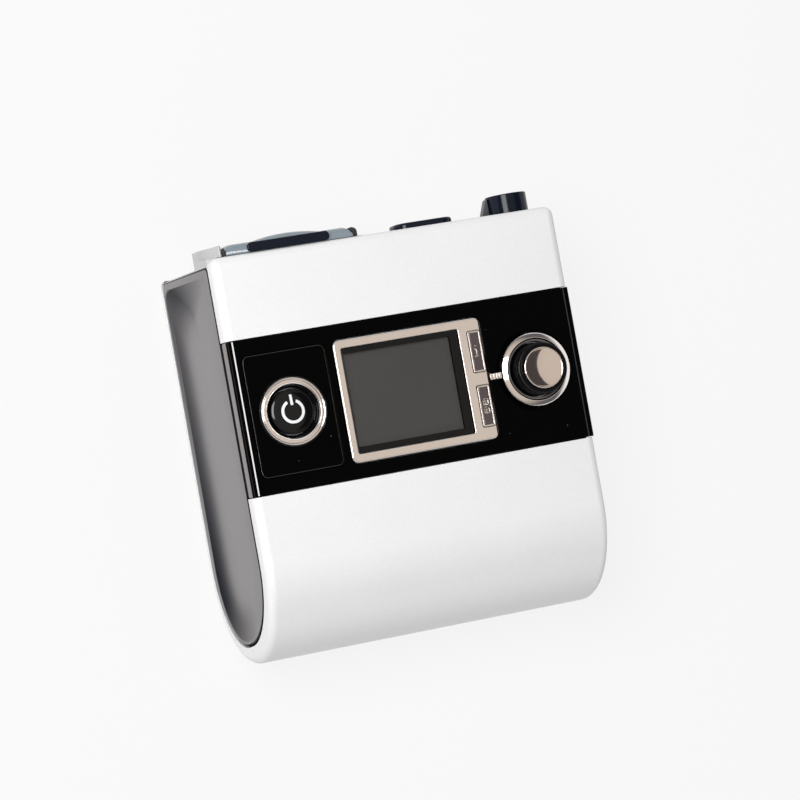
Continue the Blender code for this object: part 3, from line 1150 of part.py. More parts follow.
volute_lower = plate("volute_lower", scroll(BLOWER_SKIN), BLOWER_FLOOR_Z, blower_top, WHITE_PLASTIC)
nozzle_front = BLOWER_Y - NOZZLE_ROOT
join(volute_lower, block("nozzle", (nozzle_low_x - BLOWER_SKIN, nozzle_front, BLOWER_FLOOR_Z),
                         (nozzle_high_x + BLOWER_SKIN, nozzle_rear, blower_top)))
room_floor = BLOWER_FLOOR_Z + BLOWER_SKIN
cut(volute_lower, plate("scroll_room", scroll(0.0), room_floor, blower_top + OVERRUN),
    block("nozzle_room", (nozzle_low_x, nozzle_front, room_floor),
          (nozzle_high_x, nozzle_rear + OVERRUN, blower_top + OVERRUN)),
    rod("motor_hole", MOTOR_SPIGOT_RADIUS + FIT_GAP, BLOWER_FLOOR_Z - OVERRUN, room_floor + OVERRUN,
        blower_place, steps=ROUND_STEPS))
lid_bottom = blower_top + FIT_GAP
lid_top = lid_bottom + BLOWER_SKIN
volute_upper = plate("volute_upper", scroll(BLOWER_SKIN), lid_bottom, lid_top, WHITE_PLASTIC)
join(volute_upper, block("nozzle_lid", (nozzle_low_x - BLOWER_SKIN, nozzle_front, lid_bottom),
                         (nozzle_high_x + BLOWER_SKIN, nozzle_rear, lid_top)),
     rod("eye_lip", EYE_RADIUS + EYE_LIP, lid_bottom + BLOWER_SKIN / 2, lid_top + EYE_RISE, blower_place,
         steps=ROUND_STEPS))
cut(volute_upper, rod("eye", EYE_RADIUS, lid_bottom - OVERRUN, lid_top + EYE_RISE + OVERRUN, blower_place,
                      steps=ROUND_STEPS))

# Rubber mounts between the base's bosses and the blower's ears.
MOUNT_ANGLE_SHARES = (0.30, 0.55, 0.86)
EAR_STAND_OFF = 0.0042
EAR_RADIUS = 0.005
EAR_HOLE_RADIUS = 0.0026
MOUNT_FLANGE_RADIUS = 0.0042
MOUNT_FLANGE = 0.0014
MOUNT_BOSS_RADIUS = 0.0036
mount_seat = BLOWER_FLOOR_Z - MOUNT_FLANGE - FIT_GAP * 2
for number, angle_share in enumerate(MOUNT_ANGLE_SHARES, start=1):
    angle = math.tau * angle_share
    reach = scroll_radius(angle) + BLOWER_SKIN + EAR_STAND_OFF
    place = (BLOWER_X + reach * math.cos(angle), BLOWER_Y + reach * math.sin(angle))
    join(volute_lower, rod(f"blower_ear_{number}", EAR_RADIUS, BLOWER_FLOOR_Z, room_floor, place,
                           steps=SMALL_STEPS))
    cut(volute_lower, rod(f"ear_bore_{number}", EAR_HOLE_RADIUS, BLOWER_FLOOR_Z - OVERRUN,
                          room_floor + OVERRUN, place, steps=SMALL_STEPS))
    neck = EAR_HOLE_RADIUS - FIT_GAP
    turned(f"blower_mount_{number}",
           [(0.0, room_floor + FIT_GAP + MOUNT_FLANGE), (MOUNT_FLANGE_RADIUS - MOUNT_FLANGE / 2,
                                                         room_floor + FIT_GAP + MOUNT_FLANGE),
            (MOUNT_FLANGE_RADIUS - MOUNT_FLANGE / 2, room_floor + FIT_GAP), (neck, room_floor + FIT_GAP),
            (neck, BLOWER_FLOOR_Z - FIT_GAP), (MOUNT_FLANGE_RADIUS, BLOWER_FLOOR_Z - FIT_GAP),
            (MOUNT_FLANGE_RADIUS, mount_seat + FIT_GAP), (0.0, mount_seat + FIT_GAP)],
           RUBBER, (*place, 0.0), SMALL_STEPS)
    boss_bottom = floor_height(place[1] - MOUNT_BOSS_RADIUS) + WALL / 4
    join(base_shell, rod(f"mount_boss_{number}", MOUNT_BOSS_RADIUS, boss_bottom, mount_seat, place,
                         steps=POST_STEPS))

# Motor, bearings, shaft and impeller.
motor_bottom = WALL + MOTOR_FOOT_GAP
motor_shoulder = BLOWER_FLOOR_Z - FIT_GAP
spigot_top = room_floor + MOTOR_SPIGOT_RISE
seat_radius = BEARING_RADIUS + FIT_GAP
lip_radius = BEARING_RADIUS - BEARING_LIP
low_bearing_top = motor_bottom + BEARING_HEIGHT + FIT_GAP
high_bearing_bottom = spigot_top - BEARING_HEIGHT - FIT_GAP
turned("motor",
       [(seat_radius, spigot_top), (MOTOR_SPIGOT_RADIUS, spigot_top), (MOTOR_SPIGOT_RADIUS, motor_shoulder),
        (MOTOR_RADIUS, motor_shoulder), (MOTOR_RADIUS, motor_bottom), (seat_radius, motor_bottom),
        (seat_radius, low_bearing_top), (lip_radius, low_bearing_top), (lip_radius, high_bearing_bottom),
        (seat_radius, high_bearing_bottom)],
       STEEL, (*blower_place, 0.0), ROUND_STEPS, closed=True)
for bearing_name, bearing_low in (("lower_bearing", motor_bottom),
                                  ("upper_bearing", high_bearing_bottom + FIT_GAP)):
    turned(bearing_name,
           [(ROTOR_SHAFT_RADIUS + FIT_GAP, bearing_low + BEARING_HEIGHT),
            (BEARING_RADIUS, bearing_low + BEARING_HEIGHT), (BEARING_RADIUS, bearing_low),
            (ROTOR_SHAFT_RADIUS + FIT_GAP, bearing_low)],
           STEEL, (*blower_place, 0.0), SMALL_STEPS, closed=True)
impeller_bottom = spigot_top + IMPELLER_GAP
impeller_top = impeller_bottom + IMPELLER_DISC + BLADE_HEIGHT
turned("motor_shaft", [(0.0, impeller_top), (ROTOR_SHAFT_RADIUS, impeller_top),
                       (ROTOR_SHAFT_RADIUS, motor_bottom), (0.0, motor_bottom)],
       STEEL, (*blower_place, 0.0), SMALL_STEPS)
impeller = turned("impeller",
                  [(ROTOR_SHAFT_RADIUS + FIT_GAP, impeller_top - BLADE_HEIGHT / 3),
                   (IMPELLER_HUB_RADIUS * IMPELLER_HUB_TOP_SHARE, impeller_top - BLADE_HEIGHT / 3),
                   (IMPELLER_HUB_RADIUS, impeller_bottom + IMPELLER_DISC + BLADE_HEIGHT / 3),
                   (IMPELLER_RADIUS, impeller_bottom + IMPELLER_DISC), (IMPELLER_RADIUS, impeller_bottom),
                   (ROTOR_SHAFT_RADIUS + FIT_GAP, impeller_bottom)],
                  WHITE_PLASTIC, (*blower_place, 0.0), ROUND_STEPS, closed=True)
blade_start = IMPELLER_HUB_RADIUS + BLADE_THICKNESS
blade_end = IMPELLER_RADIUS - BLADE_THICKNESS / 2


def blade_outline(turn):
    """A backward-curved blade: its angle falls behind as the square of its way out."""
    left, right = [], []
    for step in range(BLADE_POINTS):
        share = step / (BLADE_POINTS - 1)
        radius = blade_start + (blade_end - blade_start) * share
        angle = turn - math.tau * BLADE_SWEEP_SHARE * share * share
        half_turn = BLADE_THICKNESS / 2 / radius
        left.append((radius * math.cos(angle + half_turn), radius * math.sin(angle + half_turn)))
        right.append((radius * math.cos(angle - half_turn), radius * math.sin(angle - half_turn)))
    return right + left[::-1]


for blade in range(BLADE_COUNT):
    outline = [(BLOWER_X + x, BLOWER_Y + y) for x, y in blade_outline(math.tau * blade / BLADE_COUNT)]
    join(impeller, plate(f"blade_{blade}", outline, impeller_bottom + IMPELLER_DISC / 2, impeller_top))

# Outlet duct: rubber, square round the nozzle and round at the outlet's spigot.
DUCT_WALL = 0.0011
DUCT_LAP = 0.006
DUCT_RINGS = 11
DUCT_SIDE_POINTS = 5
DUCT_STRAIGHT_SHARE = 0.23
duct_front = nozzle_rear - DUCT_LAP
duct_rear = shoulder - FIT_GAP
duct_start = ((nozzle_low_x + nozzle_high_x) / 2, (BLOWER_FLOOR_Z + lid_top) / 2)
duct_half_width = (nozzle_high_x - nozzle_low_x) / 2 + BLOWER_SKIN + FIT_GAP
duct_half_height = (lid_top - BLOWER_FLOOR_Z) / 2 + FIT_GAP
duct_round = OUTLET_SPIGOT_RADIUS + FIT_GAP


def duct_ring(share, extra):
    """A ring of the duct: a rectangle that becomes a circle along its way."""
    run_share = min(1.0, max(0.0, (share - DUCT_STRAIGHT_SHARE) / (1 - 2 * DUCT_STRAIGHT_SHARE)))
    ease = run_share * run_share * (3 - 2 * run_share)
    centre_x = duct_start[0] + (OUTLET_X - duct_start[0]) * ease
    centre_z = duct_start[1] + (OUTLET_Z - duct_start[1]) * ease
    y = duct_front + (duct_rear - duct_front) * share
    ring = []
    for side, (right, up) in enumerate(((1, 1), (-1, 1), (-1, -1), (1, -1))):
        next_right, next_up = (-up, right)
        for share_along in arc(0.0, 1.0, DUCT_SIDE_POINTS)[:-1]:
            angle = math.pi / 4 + math.pi / 2 * (side + share_along)
            square_x = (duct_half_width + extra) * (right + (next_right - right) * share_along)
            square_z = (duct_half_height + extra) * (up + (next_up - up) * share_along)
            round_x = (duct_round + extra) * math.cos(angle)
            round_z = (duct_round + extra) * math.sin(angle)
            ring.append((centre_x + square_x + (round_x - square_x) * ease, y,
                         centre_z + square_z + (round_z - square_z) * ease))
    return ring


duct_shares = arc(0.0, 1.0, DUCT_RINGS)
loft("outlet_duct", [duct_ring(s, DUCT_WALL) for s in duct_shares]
     + [duct_ring(s, 0.0) for s in reversed(duct_shares)], RUBBER, joined_ends=True)

# Foam muffler in front of the filter bay.
MUFFLER_FRONT_SHARE = 0.391
MUFFLER_DROP = 0.006
muffler_rear = pocket_front - BAY_SKIN - FIT_GAP
muffler_front = board_rear + (muffler_rear - board_rear) * MUFFLER_FRONT_SHARE
block("muffler_foam", (cover_left, muffler_front, cover_floor - MUFFLER_DROP),
      (cover_right, muffler_rear, pocket_top), FOAM)

# Power supply: a board on four standoffs with its transformer and capacitor.
SUPPLY_LEFT_INSET = 0.014
SUPPLY_TO_BLOWER = 0.0063
SUPPLY_REAR_INSET = 0.0405
SUPPLY_Z = 0.0082
SUPPLY_THICKNESS = 0.0016
SUPPLY_INSET = 0.004
STANDOFF_RADIUS = 0.0028
TRANSFORMER_INSET = 0.006
TRANSFORMER_RIGHT_INSET = 0.0075
TRANSFORMER_HEIGHT = 0.024
TRANSFORMER_LENGTH_SHARE = 0.4054
TRANSFORMER_BEVEL = 0.0015
CAPACITOR_RADIUS_SHARE = 0.2025
CAPACITOR_GAP = 0.008
CAPACITOR_HEIGHT = 0.026
CAPACITOR_BEVEL = 0.0012
supply_top = SUPPLY_Z + SUPPLY_THICKNESS
supply_left = -HALF_WIDTH + SUPPLY_LEFT_INSET
supply_right = BLOWER_X - SCROLL_END - BLOWER_SKIN - SUPPLY_TO_BLOWER
supply_front = NOSE_RADIUS
supply_rear = BASE_REAR - SUPPLY_REAR_INSET
block("supply_board", (supply_left, supply_front, SUPPLY_Z), (supply_right, supply_rear, supply_top),
      BOARD_GREEN)
standoff_places = [(x, y) for y in (supply_front + SUPPLY_INSET, supply_rear - SUPPLY_INSET)
                   for x in (supply_left + SUPPLY_INSET, supply_right - SUPPLY_INSET)]
for number, place in enumerate(standoff_places):
    join(base_shell, rod(f"standoff_{number}", STANDOFF_RADIUS, WALL / 2, SUPPLY_Z - FIT_GAP, place,
                         steps=POST_STEPS))
transformer_low = (supply_left + TRANSFORMER_INSET, supply_front + TRANSFORMER_INSET, supply_top + FIT_GAP)
transformer_high = (supply_right - TRANSFORMER_RIGHT_INSET,
                    transformer_low[1] + (supply_rear - supply_front) * TRANSFORMER_LENGTH_SHARE,
                    transformer_low[2] + TRANSFORMER_HEIGHT)
block("transformer", transformer_low, transformer_high, ((0.35, 0.30, 0.10), 0.5), TRANSFORMER_BEVEL)
capacitor_radius = (supply_right - supply_left) * CAPACITOR_RADIUS_SHARE
turned("capacitor", [(0.0, supply_top + CAPACITOR_HEIGHT),
                     (capacitor_radius - CAPACITOR_BEVEL, supply_top + CAPACITOR_HEIGHT),
                     (capacitor_radius, supply_top + CAPACITOR_HEIGHT - CAPACITOR_BEVEL),
                     (capacitor_radius, supply_top + FIT_GAP), (0.0, supply_top + FIT_GAP)],
       ((0.03, 0.04, 0.10), 0.4), ((supply_left + supply_right) / 2,
                                   transformer_high[1] + CAPACITOR_GAP + capacitor_radius, 0.0),
       SMALL_STEPS)
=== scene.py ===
"""Looks of a bedside air pressure machine: a flat silver case with a half-round nose, gloss black control
band, grey dished sides and a dark outlet at the rear.

Sizes are in metres. The pieces are worked out with Y = 0 at the nose tip and Z = 0 at the case's underside,
as the case is drawn, and moved on to the frame's own zero when their mesh is made.
"""

import math

import bmesh
import bpy
import numpy as np
from mathutils import Matrix, Vector


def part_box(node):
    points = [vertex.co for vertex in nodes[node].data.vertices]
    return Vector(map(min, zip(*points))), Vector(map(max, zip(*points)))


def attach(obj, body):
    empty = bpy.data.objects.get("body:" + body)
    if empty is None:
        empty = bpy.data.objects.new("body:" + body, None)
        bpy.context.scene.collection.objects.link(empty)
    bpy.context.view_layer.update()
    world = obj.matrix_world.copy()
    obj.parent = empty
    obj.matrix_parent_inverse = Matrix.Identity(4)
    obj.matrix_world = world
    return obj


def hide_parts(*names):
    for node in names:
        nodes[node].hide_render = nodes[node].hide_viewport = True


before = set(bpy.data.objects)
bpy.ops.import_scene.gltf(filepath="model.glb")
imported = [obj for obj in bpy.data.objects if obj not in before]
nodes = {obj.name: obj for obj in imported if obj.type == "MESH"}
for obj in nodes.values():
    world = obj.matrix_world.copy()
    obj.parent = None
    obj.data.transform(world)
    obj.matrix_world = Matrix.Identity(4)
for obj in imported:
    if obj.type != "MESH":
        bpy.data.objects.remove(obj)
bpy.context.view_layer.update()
scene = bpy.context.scene
scene.view_settings.view_transform = "Standard"


# Studio: the camera stands above the machine, a little to its left, and looks down on it. One broad lamp at
# the upper left lights it. The room is brighter on the left; gloss and plating mirror a white floor, a dark
# wall, a warm ceiling and, high on the right, a dark flag.
camera_data = bpy.data.cameras.new("camera")
camera_data.lens = 150.23
camera_data.sensor_width = 36.0
camera = bpy.data.objects.new("camera", camera_data)
camera.location = (-0.4302, -0.0067, 1.2702)
camera.rotation_euler = tuple(math.radians(angle) for angle in (4.2703, -19.1356, -10.7428))
scene.collection.objects.link(camera)
scene.camera = camera


def softbox(name, location, target, width, height, power):
    """A rectangular lamp that faces a point: its own -Z axis runs from its place to the target."""
    lamp = bpy.data.lights.new(name, "AREA")
    lamp.shape = "RECTANGLE"
    lamp.size, lamp.size_y = width, height
    lamp.energy = power
    stand = bpy.data.objects.new(name, lamp)
    place = np.array(location)
    away = (place - np.array(target)) / np.linalg.norm(place - np.array(target))
    across = np.cross((0.0, 1.0, 0.0), away)
    across /= np.linalg.norm(across)
    upward = np.cross(away, across)
    turn = np.eye(4)
    turn[:3, 0], turn[:3, 1], turn[:3, 2], turn[:3, 3] = across, upward, away, place
    stand.matrix_world = Matrix(turn.tolist())
    scene.collection.objects.link(stand)


softbox("key_lamp", (-0.52, 0.19, 1.02), (0.0, 0.0, 0.04), 0.5, 0.6, 10.2)


def feed(tree, node, sources):
    """Give a node's sockets a value, or link them to what feeds them."""
    for key, value in dict(sources).items():
        if isinstance(value, bpy.types.NodeSocket):
            tree.links.new(value, node.inputs[key])
        else:
            node.inputs[key].default_value = value


def add(tree, kind, inputs=(), **settings):
    """A shader node: settings are its own options, inputs feed its sockets."""
    node = tree.nodes.new("ShaderNode" + kind)
    for key, value in settings.items():
        setattr(node, key, value)
    feed(tree, node, inputs)
    return node


def combine(tree, operation, first, second, third=0.0):
    """The result of a Math node."""
    return add(tree, "Math", {0: first, 1: second, 2: third}, operation=operation).outputs[0]


def ramp(tree, factor, stops):
    """The colour of a ramp through (position, colour) stops."""
    node = add(tree, "ValToRGB", {"Fac": factor})
    for end in (0, -1):
        node.color_ramp.elements[end].position = stops[end][0]
        node.color_ramp.elements[end].color = (*stops[end][1], 1.0)
    for position, color in stops[1:-1]:
        node.color_ramp.elements.new(position).color = (*color, 1.0)
    return node.outputs["Color"]


def mixed(tree, factor, first, second):
    """A colour between two others."""
    return add(tree, "Mix", {"Factor": factor, 6: first, 7: second}, data_type="RGBA").outputs[2]


def emptied(owner):
    """The node tree of a world or a material, without nodes."""
    owner.use_nodes = True
    owner.node_tree.nodes.clear()
    return owner.node_tree


def seen_or_mirrored(tree):
    """1 for a ray from the camera, through glass or off a mirror, 0 for one that only carries light."""
    path = add(tree, "LightPath")
    seen = combine(tree, "MAXIMUM", path.outputs["Is Camera Ray"], path.outputs["Is Transmission Ray"])
    return combine(tree, "MAXIMUM", seen, path.outputs["Is Glossy Ray"])


world = bpy.data.worlds.new("studio")
scene.world = world
tree = emptied(world)
way = add(tree, "TexCoord").outputs["Generated"]
part = add(tree, "SeparateXYZ", {0: way}).outputs
paper_to_ceiling = ramp(tree, part["Z"], [(0.34, (0.97, 0.965, 0.965)), (0.44, (0.10, 0.10, 0.12)),
                                          (0.62, (0.13, 0.125, 0.13)), (0.76, (0.58, 0.52, 0.47)),
                                          (0.95, (0.66, 0.59, 0.53))])
flag = 1.0
for axis, mode, limit in (("X", "GREATER_THAN", 0.30), ("Z", "GREATER_THAN", 0.60), ("Z", "LESS_THAN", 0.865),
                          ("Y", "GREATER_THAN", -0.42), ("Y", "LESS_THAN", 0.42)):
    flag = combine(tree, "MULTIPLY", flag, combine(tree, mode, part[axis], limit))
across_room = add(tree, "MapRange", {"Value": part["X"], "From Min": -1.0}).outputs[0]
left_to_right = ramp(tree, across_room, [(0.0, (1.0, 1.02, 1.04)), (1.0, (0.60, 0.60, 0.62))])
room = add(tree, "Background", {"Color": left_to_right, "Strength": 0.49})
backdrop = add(tree, "Background", {"Color": mixed(tree, flag, paper_to_ceiling, (0.07, 0.06, 0.06, 1.0))})
either = add(tree, "MixShader", {0: seen_or_mirrored(tree), 1: room.outputs[0], 2: backdrop.outputs[0]})
add(tree, "OutputWorld", {"Surface": either.outputs[0]})

FLOOR_REACH = 4.0
floor_mesh = bpy.data.meshes.new("floor")
floor_corners = [(FLOOR_REACH * x, FLOOR_REACH * y, 0.0) for x, y in ((-1, -1), (1, -1), (1, 1), (-1, 1))]
floor_mesh.from_pydata(floor_corners, [], [(0, 1, 2, 3)])
floor = bpy.data.objects.new("floor", floor_mesh)
scene.collection.objects.link(floor)
paper = bpy.data.materials.new("paper")
tree = emptied(paper)
matte = add(tree, "BsdfDiffuse", {"Color": (0.74, 0.73, 0.72, 1.0)})
glow = add(tree, "Emission", {"Color": (0.985, 0.98, 0.98, 1.0)})
share = combine(tree, "MULTIPLY", seen_or_mirrored(tree), 0.86)
blend = add(tree, "MixShader", {0: share, 1: matte.outputs[0], 2: glow.outputs[0]})
add(tree, "OutputMaterial", {"Surface": blend.outputs[0]})
floor.data.materials.append(paper)


# Silver shell: front cover, rear cover and base are ABS mouldings, sprayed with a fine silver lacquer. Each
# is a skin 2.2 mm thick with a flange down both sides; a soft 3.3 mm edge runs all round the face.
HOME = np.array((0.0, -0.0811, 0.0015))
CASE_WIDTH, CASE_HEIGHT = 0.140, 0.076
HALF = CASE_WIDTH / 2
NOSE = CASE_HEIGHT / 2
WALL = 0.0022
GAP = 0.0003
BAND_FRONT, BAND_REAR = 0.06323, 0.12213
RIM, BASE_RIM = 0.007, 0.0028
EDGE, BASE_EDGE = 0.0033, 0.00224
REAR_RIM, REAR_EDGE = 0.0007, 0.0006
BASE_REAR, HEEL, HEEL_LIP = 0.1525, 0.006, 0.002
SEAM_HEIGHT = 0.040
SEAM = math.acos((SEAM_HEIGHT - NOSE) / NOSE)
WELD = 2e-6


def model(name, points, faces, look, body, replaced=(), edge=0.0, crisp=50.0, turns=3, soft=None):
    """A mesh object that rides on a body: points + HOME, doubles merged, faces outward, sharp edges bevelled.

    Where soft is given, it takes an edge's middle and tells the share of the full bevel that edge gets."""
    mesh = bpy.data.meshes.new(name)
    mesh.from_pydata((np.asarray(points).reshape(-1, 3) + HOME).tolist(), [], faces)
    shape = bmesh.new()
    shape.from_mesh(mesh)
    bmesh.ops.remove_doubles(shape, verts=shape.verts, dist=WELD)
    bmesh.ops.dissolve_degenerate(shape, edges=shape.edges, dist=1e-7)
    if shape.calc_volume(signed=True) < 0:
        bmesh.ops.reverse_faces(shape, faces=shape.faces)
    if soft:
        weight = shape.edges.layers.float.new("bevel_weight_edge")
        for line in shape.edges:
            if len(line.link_faces) == 2 and line.calc_face_angle() > math.radians(crisp):
                line[weight] = soft((line.verts[0].co + line.verts[1].co) / 2 - Vector(HOME))
    shape.to_mesh(mesh)
    shape.free()
    mesh.materials.append(look)
    mesh.shade_smooth()
    made = bpy.data.objects.new(name, mesh)
    scene.collection.objects.link(made)
    if edge:
        rounded = made.modifiers.new("edge", "BEVEL")
        rounded.width, rounded.segments = edge, turns
        rounded.limit_method, rounded.angle_limit = "WEIGHT" if soft else "ANGLE", math.radians(crisp)
        rounded.use_clamp_overlap = False
        evened = made.modifiers.new("flat_faces_stay_flat", "WEIGHTED_NORMAL")
        evened.weight, evened.keep_sharp = 100, True
    else:
        mesh.set_sharp_from_angle(angle=math.radians(crisp))
    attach(made, body)
    if replaced:
        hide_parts(*replaced)
    return made


def skin(rings, closed=False):
    """Faces over rows of equal rings: quad (i, j) joins rows i and i + 1; the ends are filled or joined."""
    rows, count = rings.shape[:2]
    row = np.arange(rows if closed else rows - 1)[:, None]
    place = np.arange(count)[None, :]
    after, next_row = (place + 1) % count, (row + 1) % rows
    quads = np.stack((row * count + place, row * count + after, next_row * count + after,
                      next_row * count + place), axis=-1).reshape(-1, 4).tolist()
    if closed:
        return quads
    return quads + [list(range(count))[::-1], list(range((rows - 1) * count, rows * count))]


def arc(start, stop, steps):
    """Even angles from start to stop."""
    return np.linspace(start, stop, steps + 1)


def face_line(y):
    """Stations (y, z, normal y, normal z, rim, edge radius) on the flat face."""
    return np.array([(y, CASE_HEIGHT, 0.0, 1.0, RIM, EDGE)])


def nose_line(angle):
    """Stations round the half-round nose: its centre plus the radius times (-sin, cos).

    From the seam down, the rim thins from 7 mm to 2.8 mm and the edge's radius from 3.3 mm to 2.24 mm with
    the sine of the way."""
    thin = np.sin(np.clip((angle - SEAM) / (math.pi - SEAM), 0.0, 1.0) * math.pi / 2)
    return np.stack((NOSE - NOSE * np.sin(angle), NOSE + NOSE * np.cos(angle), -np.sin(angle), np.cos(angle),
                     RIM + (BASE_RIM - RIM) * thin, EDGE + (BASE_EDGE - EDGE) * thin), 1)


def heel_line(angle):
    """Stations round the heel at the rear of the underside, where rim and edge thin to 0.7 mm and 0.6 mm."""
    thin = np.sin(angle)
    return np.stack((BASE_REAR - HEEL + HEEL * np.sin(angle), HEEL - HEEL * np.cos(angle), np.sin(angle),
                     -np.cos(angle), BASE_RIM + (REAR_RIM - BASE_RIM) * thin,
                     BASE_EDGE + (REAR_EDGE - BASE_EDGE) * thin), 1)


def cover(stations):
    """A channel carried along the side outline: skin, rounded long edges, and flanges as deep as the rim."""
    y, z, normal_y, normal_z, rim, edge = (column[:, None] for column in stations.T)
    turn = arc(math.pi, math.pi / 2, 9)[None, :]
    side = np.full_like(rim, -HALF)
    x = np.hstack((side, side + edge + edge * np.cos(turn)))
    depth = np.hstack((rim, edge - edge * np.sin(turn)))
    wall = WALL + np.clip(WALL - rim, 0.0, 0.001)
    x = np.hstack((x, -x[:, ::-1], -side - wall, -side - wall, side + wall, side + wall))
    flat = np.full_like(rim, WALL)
    depth = np.hstack((depth, depth[:, ::-1], rim, flat, flat, rim))
    return np.stack((x, y - normal_y * depth, z - normal_z * depth), axis=-1)


def group(name, inputs, outputs):
    """A shader group with named sockets; inputs are (name, kind, value)."""
    made = bpy.data.node_groups.new(name, "ShaderNodeTree")
    kinds = {"color": "NodeSocketColor", "value": "NodeSocketFloat", "vector": "NodeSocketVector"}
    for label, kind, value in inputs:
        made.interface.new_socket(label, in_out="INPUT", socket_type=kinds[kind]).default_value = value
    for label, kind in outputs:
        made.interface.new_socket(label, in_out="OUTPUT", socket_type=kinds[kind])
    return made, made.nodes.new("NodeGroupInput"), made.nodes.new("NodeGroupOutput")


# Grain: what a sprayed or moulded surface shows close up. Fine noise speckles the colour and the gloss, a
# broad noise clouds them, and both lift a shallow relief.
grain, given, result = group("grain", [("Color", "color", (0.5, 0.5, 0.5, 1.0)), ("Roughness", "value", 0.4),
                                       ("Fineness", "value", 3000.0), ("Speckle", "value", 0.1),
                                       ("Cloud", "value", 0.05), ("Gloss spread", "value", 0.05),
                                       ("Relief", "value", 0.2)],
                             [("Color", "color"), ("Roughness", "value"), ("Normal", "vector")])
given = given.outputs
place = add(grain, "TexCoord").outputs["Object"]
fine = add(grain, "TexNoise", {"Vector": place, "Scale": given["Fineness"], "Detail": 3.0, "Roughness": 0.7})
broad = add(grain, "TexNoise", {"Vector": place, "Scale": 38.0, "Detail": 5.0})
fine_off = combine(grain, "SUBTRACT", fine.outputs["Fac"], 0.5)
broad_off = combine(grain, "SUBTRACT", broad.outputs["Fac"], 0.5)
speckle = combine(grain, "MULTIPLY_ADD", fine_off, given["Speckle"], 1.0)
cloud = combine(grain, "MULTIPLY_ADD", broad_off, given["Cloud"], speckle)
toned = add(grain, "VectorMath", {0: given["Color"], "Scale": cloud}, operation="SCALE")
gloss = combine(grain, "MULTIPLY_ADD", broad_off, given["Gloss spread"], given["Roughness"])
glint = combine(grain, "MULTIPLY_ADD", fine_off, given["Gloss spread"], gloss)
relief = add(grain, "Bump", {"Height": fine.outputs["Fac"], "Strength": given["Relief"], "Distance": 0.00006})
feed(grain, result, {"Color": toned.outputs[0], "Roughness": glint, "Normal": relief.outputs["Normal"]})


def principled(name, **fixed):
    """A new material, its node tree and its shader; fixed values go on the shader's own sockets."""
    material = bpy.data.materials.new(name)
    material.use_nodes = True
    shader = material.node_tree.nodes["Principled BSDF"]
    for label, value in fixed.items():
        shader.inputs[label.replace("_", " ")].default_value = value
    return material, material.node_tree, shader


def covered(name, effect, values, fixed):
    """A Principled material whose colour, roughness and normal come from a group with values of its own."""
    material, tree, shader = principled(name, **fixed)
    surface = add(tree, "Group", node_tree=effect)
    feed(tree, surface, values)
    feed(tree, shader, {"Base Color": surface.outputs["Color"], "Roughness": surface.outputs["Roughness"],
                        "Normal": surface.outputs["Normal"]})
    return material


def finish(name, color, roughness, fineness=3000.0, speckle=0.1, cloud=0.05, spread=0.05, relief=0.2, **more):
    """A lacquered or moulded surface with grain."""
    return covered(name, grain, {"Color": (*color, 1.0), "Roughness": roughness, "Fineness": fineness,
                                 "Speckle": speckle, "Cloud": cloud, "Gloss spread": spread,
                                 "Relief": relief}, more)


silver = finish("silver_lacquer", (0.865, 0.860, 0.860), 0.40, fineness=1500.0, speckle=0.16, cloud=0.04,
                spread=0.10, relief=0.22, Metallic=0.12, Specular_IOR_Level=0.30)

half_gap = GAP / 2
seam_gap = half_gap / NOSE
front = cover(np.vstack((face_line(BAND_FRONT - half_gap), nose_line(arc(0.0, SEAM - seam_gap, 40)))))
front_cover = model("front_cover_skin", front, skin(front), silver, "case", ["front_cover"],
                    edge=0.0002)
base_run = np.vstack((nose_line(arc(SEAM + seam_gap, math.pi, 40)), heel_line(arc(0.0, math.pi / 2, 12)),
                      [(BASE_REAR, HEEL + HEEL_LIP, 1.0, 0.0, REAR_RIM, REAR_EDGE)]))
base = cover(base_run)
base_shell = model("base_skin", base, skin(base), silver, "case", ["base_shell"], edge=0.0002)

# The covers' ends are coloured near black as painted shade, which shows as a thin dark line along each seam.
painted_seam_shade = finish("painted_seam_shade", (0.030, 0.029, 0.031), 0.55, fineness=1500.0, speckle=0.2, cloud=0.1,
                  relief=0.3)
for piece in (front_cover, base_shell):
    piece.data.materials.append(painted_seam_shade)
    ends = [int(len(face.vertices) > 4) for face in piece.data.polygons]
    piece.data.polygons.foreach_set("material_index", ends)


# Posts on the shell's floor, moulded with it: four under the controls' frame, four under the supply board and
# three under the blower's rubber mounts. The blower's posts stand round its scroll, which widens as it turns.
POST_FOOT, POST_ROUND, DRAFT = WALL / 2, 0.0004, 0.01
FRAME_UNDERSIDE, BOARD_UNDERSIDE, MOUNT_FLOOR = 0.0692, 0.0079, 0.0100
BLOWER_X, BLOWER_Y = 0.0276, 0.055
SCROLL_START, SCROLL_GROWTH, TONGUE = 0.027, 0.009, 0.083
MOUNT_RADIUS, MOUNT_REACH = 0.0036, 0.006
frame_posts = [(HALF * across, BAND_FRONT + (BAND_REAR - BAND_FRONT) * along, POST_FOOT, FRAME_UNDERSIDE,
                0.003) for across, along in ((-0.857, 0.06), (-0.171, 0.06), (-0.857, 0.93), (0.571, 0.93))]
board_posts = [(x, y, POST_FOOT, BOARD_UNDERSIDE, 0.0028) for x in (-0.052, -0.0205) for y in (0.042, 0.108)]
mount_bosses = []
for share in (0.30, 0.55, 0.86):
    reach = SCROLL_START + SCROLL_GROWTH * (share - TONGUE) / (1 - TONGUE) + MOUNT_REACH
    x, y = BLOWER_X + reach * math.cos(math.tau * share), BLOWER_Y + reach * math.sin(math.tau * share)
    short = max(0.0, NOSE - y + MOUNT_RADIUS)
    foot = NOSE - math.sqrt(NOSE ** 2 - short ** 2) + 0.0006
    mount_bosses.append((x, y, foot, MOUNT_FLOOR, MOUNT_RADIUS))


